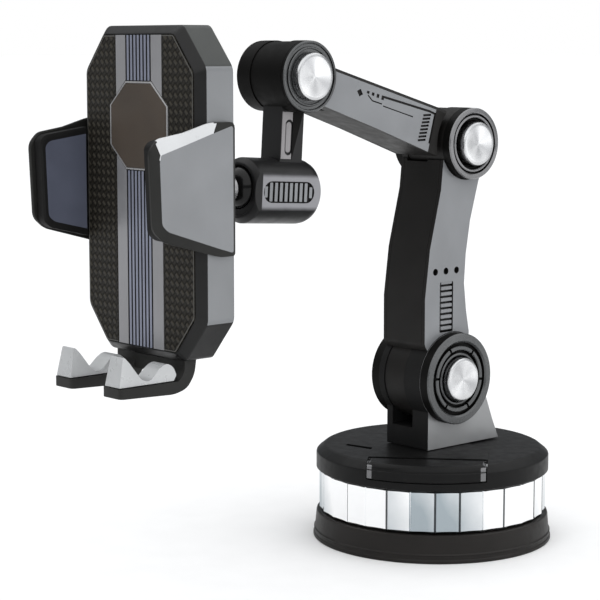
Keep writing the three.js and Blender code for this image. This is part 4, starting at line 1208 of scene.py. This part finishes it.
# ------------------------------------------------------------------ foot

FOOT = [
    (-156.3, 72.4), (-135, 71.6, 2), (-130, 73, 2), (-127, 77.2, 2), (-126.3, 82),
    (-126.3, 104), (-131, 104), (-131, 78.5, 1.5), (-133, 75.55, 1.5), (-156.3, 75.55),
]
foot = block("foot_bracket_legs", (-17.8, -131, 99), (17.8, -126.3, 104))
union(foot, block("web", (-8.6, -131, 76.6), (8.6, -127.1, 81.65)))
for side, _ in HANDS:
    ends = span(side, 8.07, 17.8)
    leg = prism("leg", "x", FOOT, *ends)
    for way, edge in zip((-1, 1), ends):
        cut(leg, prism("corner", "z", [
            (edge - way * 1.3, -158), (edge + way, -158), (edge + way, -155), (edge, -155),
            (edge - way * 0.4, -155.9), (edge - way * 1.3, -156.3),
        ], 70, 78))
    union(foot, leg)
soften(foot, 0.4)
give(foot, "foot", ["foot_bracket"], [CHARCOAL])

SADDLE = [
    (-155.9, 75.85), (-153.9, 85.6, 1.2), (-151.6, 83.2, 1.2), (-147, 77, 2), (-143.8, 76.8, 1.6),
    (-139.8, 80.6, 1.5), (-137, 81.7, 1.5), (-134.6, 80.2, 1.2), (-133.6, 77.6, 0.5),
    (-134.7, 75.85),
]


def tapered(obj, middle, start, rate):
    """Narrows an object about the plane X = middle, at a rate per millimetre above a height."""
    for vertex in obj.data.vertices:
        rise = max(0, vertex.co.z / MM - start)
        vertex.co.x = middle * MM + (vertex.co.x - middle * MM) * (1 - rate * rise)
    return obj


for side, word in HANDS:
    ends = span(side, 9.2, 16.9)
    saddle = prism(f"foot_pad_{word}_saddle", "x", SADDLE, *ends, 6)
    soften(tapered(saddle, sum(ends) / 2, 76.5, 0.022), 0.5, 3)
    give(saddle, "foot", [f"foot_pad_{word}"], [SADDLE_SILVER])

# ------------------------------------------------------------------ inner pieces kept from the CAD

KEPT = {
    "gel_pad": GEL, "base_frame": BLACK_SATIN, "lever_pin": STEEL, "suction_stem": NYLON,
    "lift_yoke": STEEL, "swivel_washer": STEEL, "swivel_screw": STEEL,
    "lower_hinge_friction_ring": RUBBER, "elbow_friction_ring": RUBBER,
    "ball_tension_screw": STEEL, "button_spring": STEEL, "pinion": NYLON,
    "clamp_slide_right": NYLON, "clamp_slide_left": NYLON,
}
for name, material in KEPT.items():
    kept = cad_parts[name]
    for material_slot in kept.material_slots:
        material_slot.material = material

bpy.context.view_layer.update()
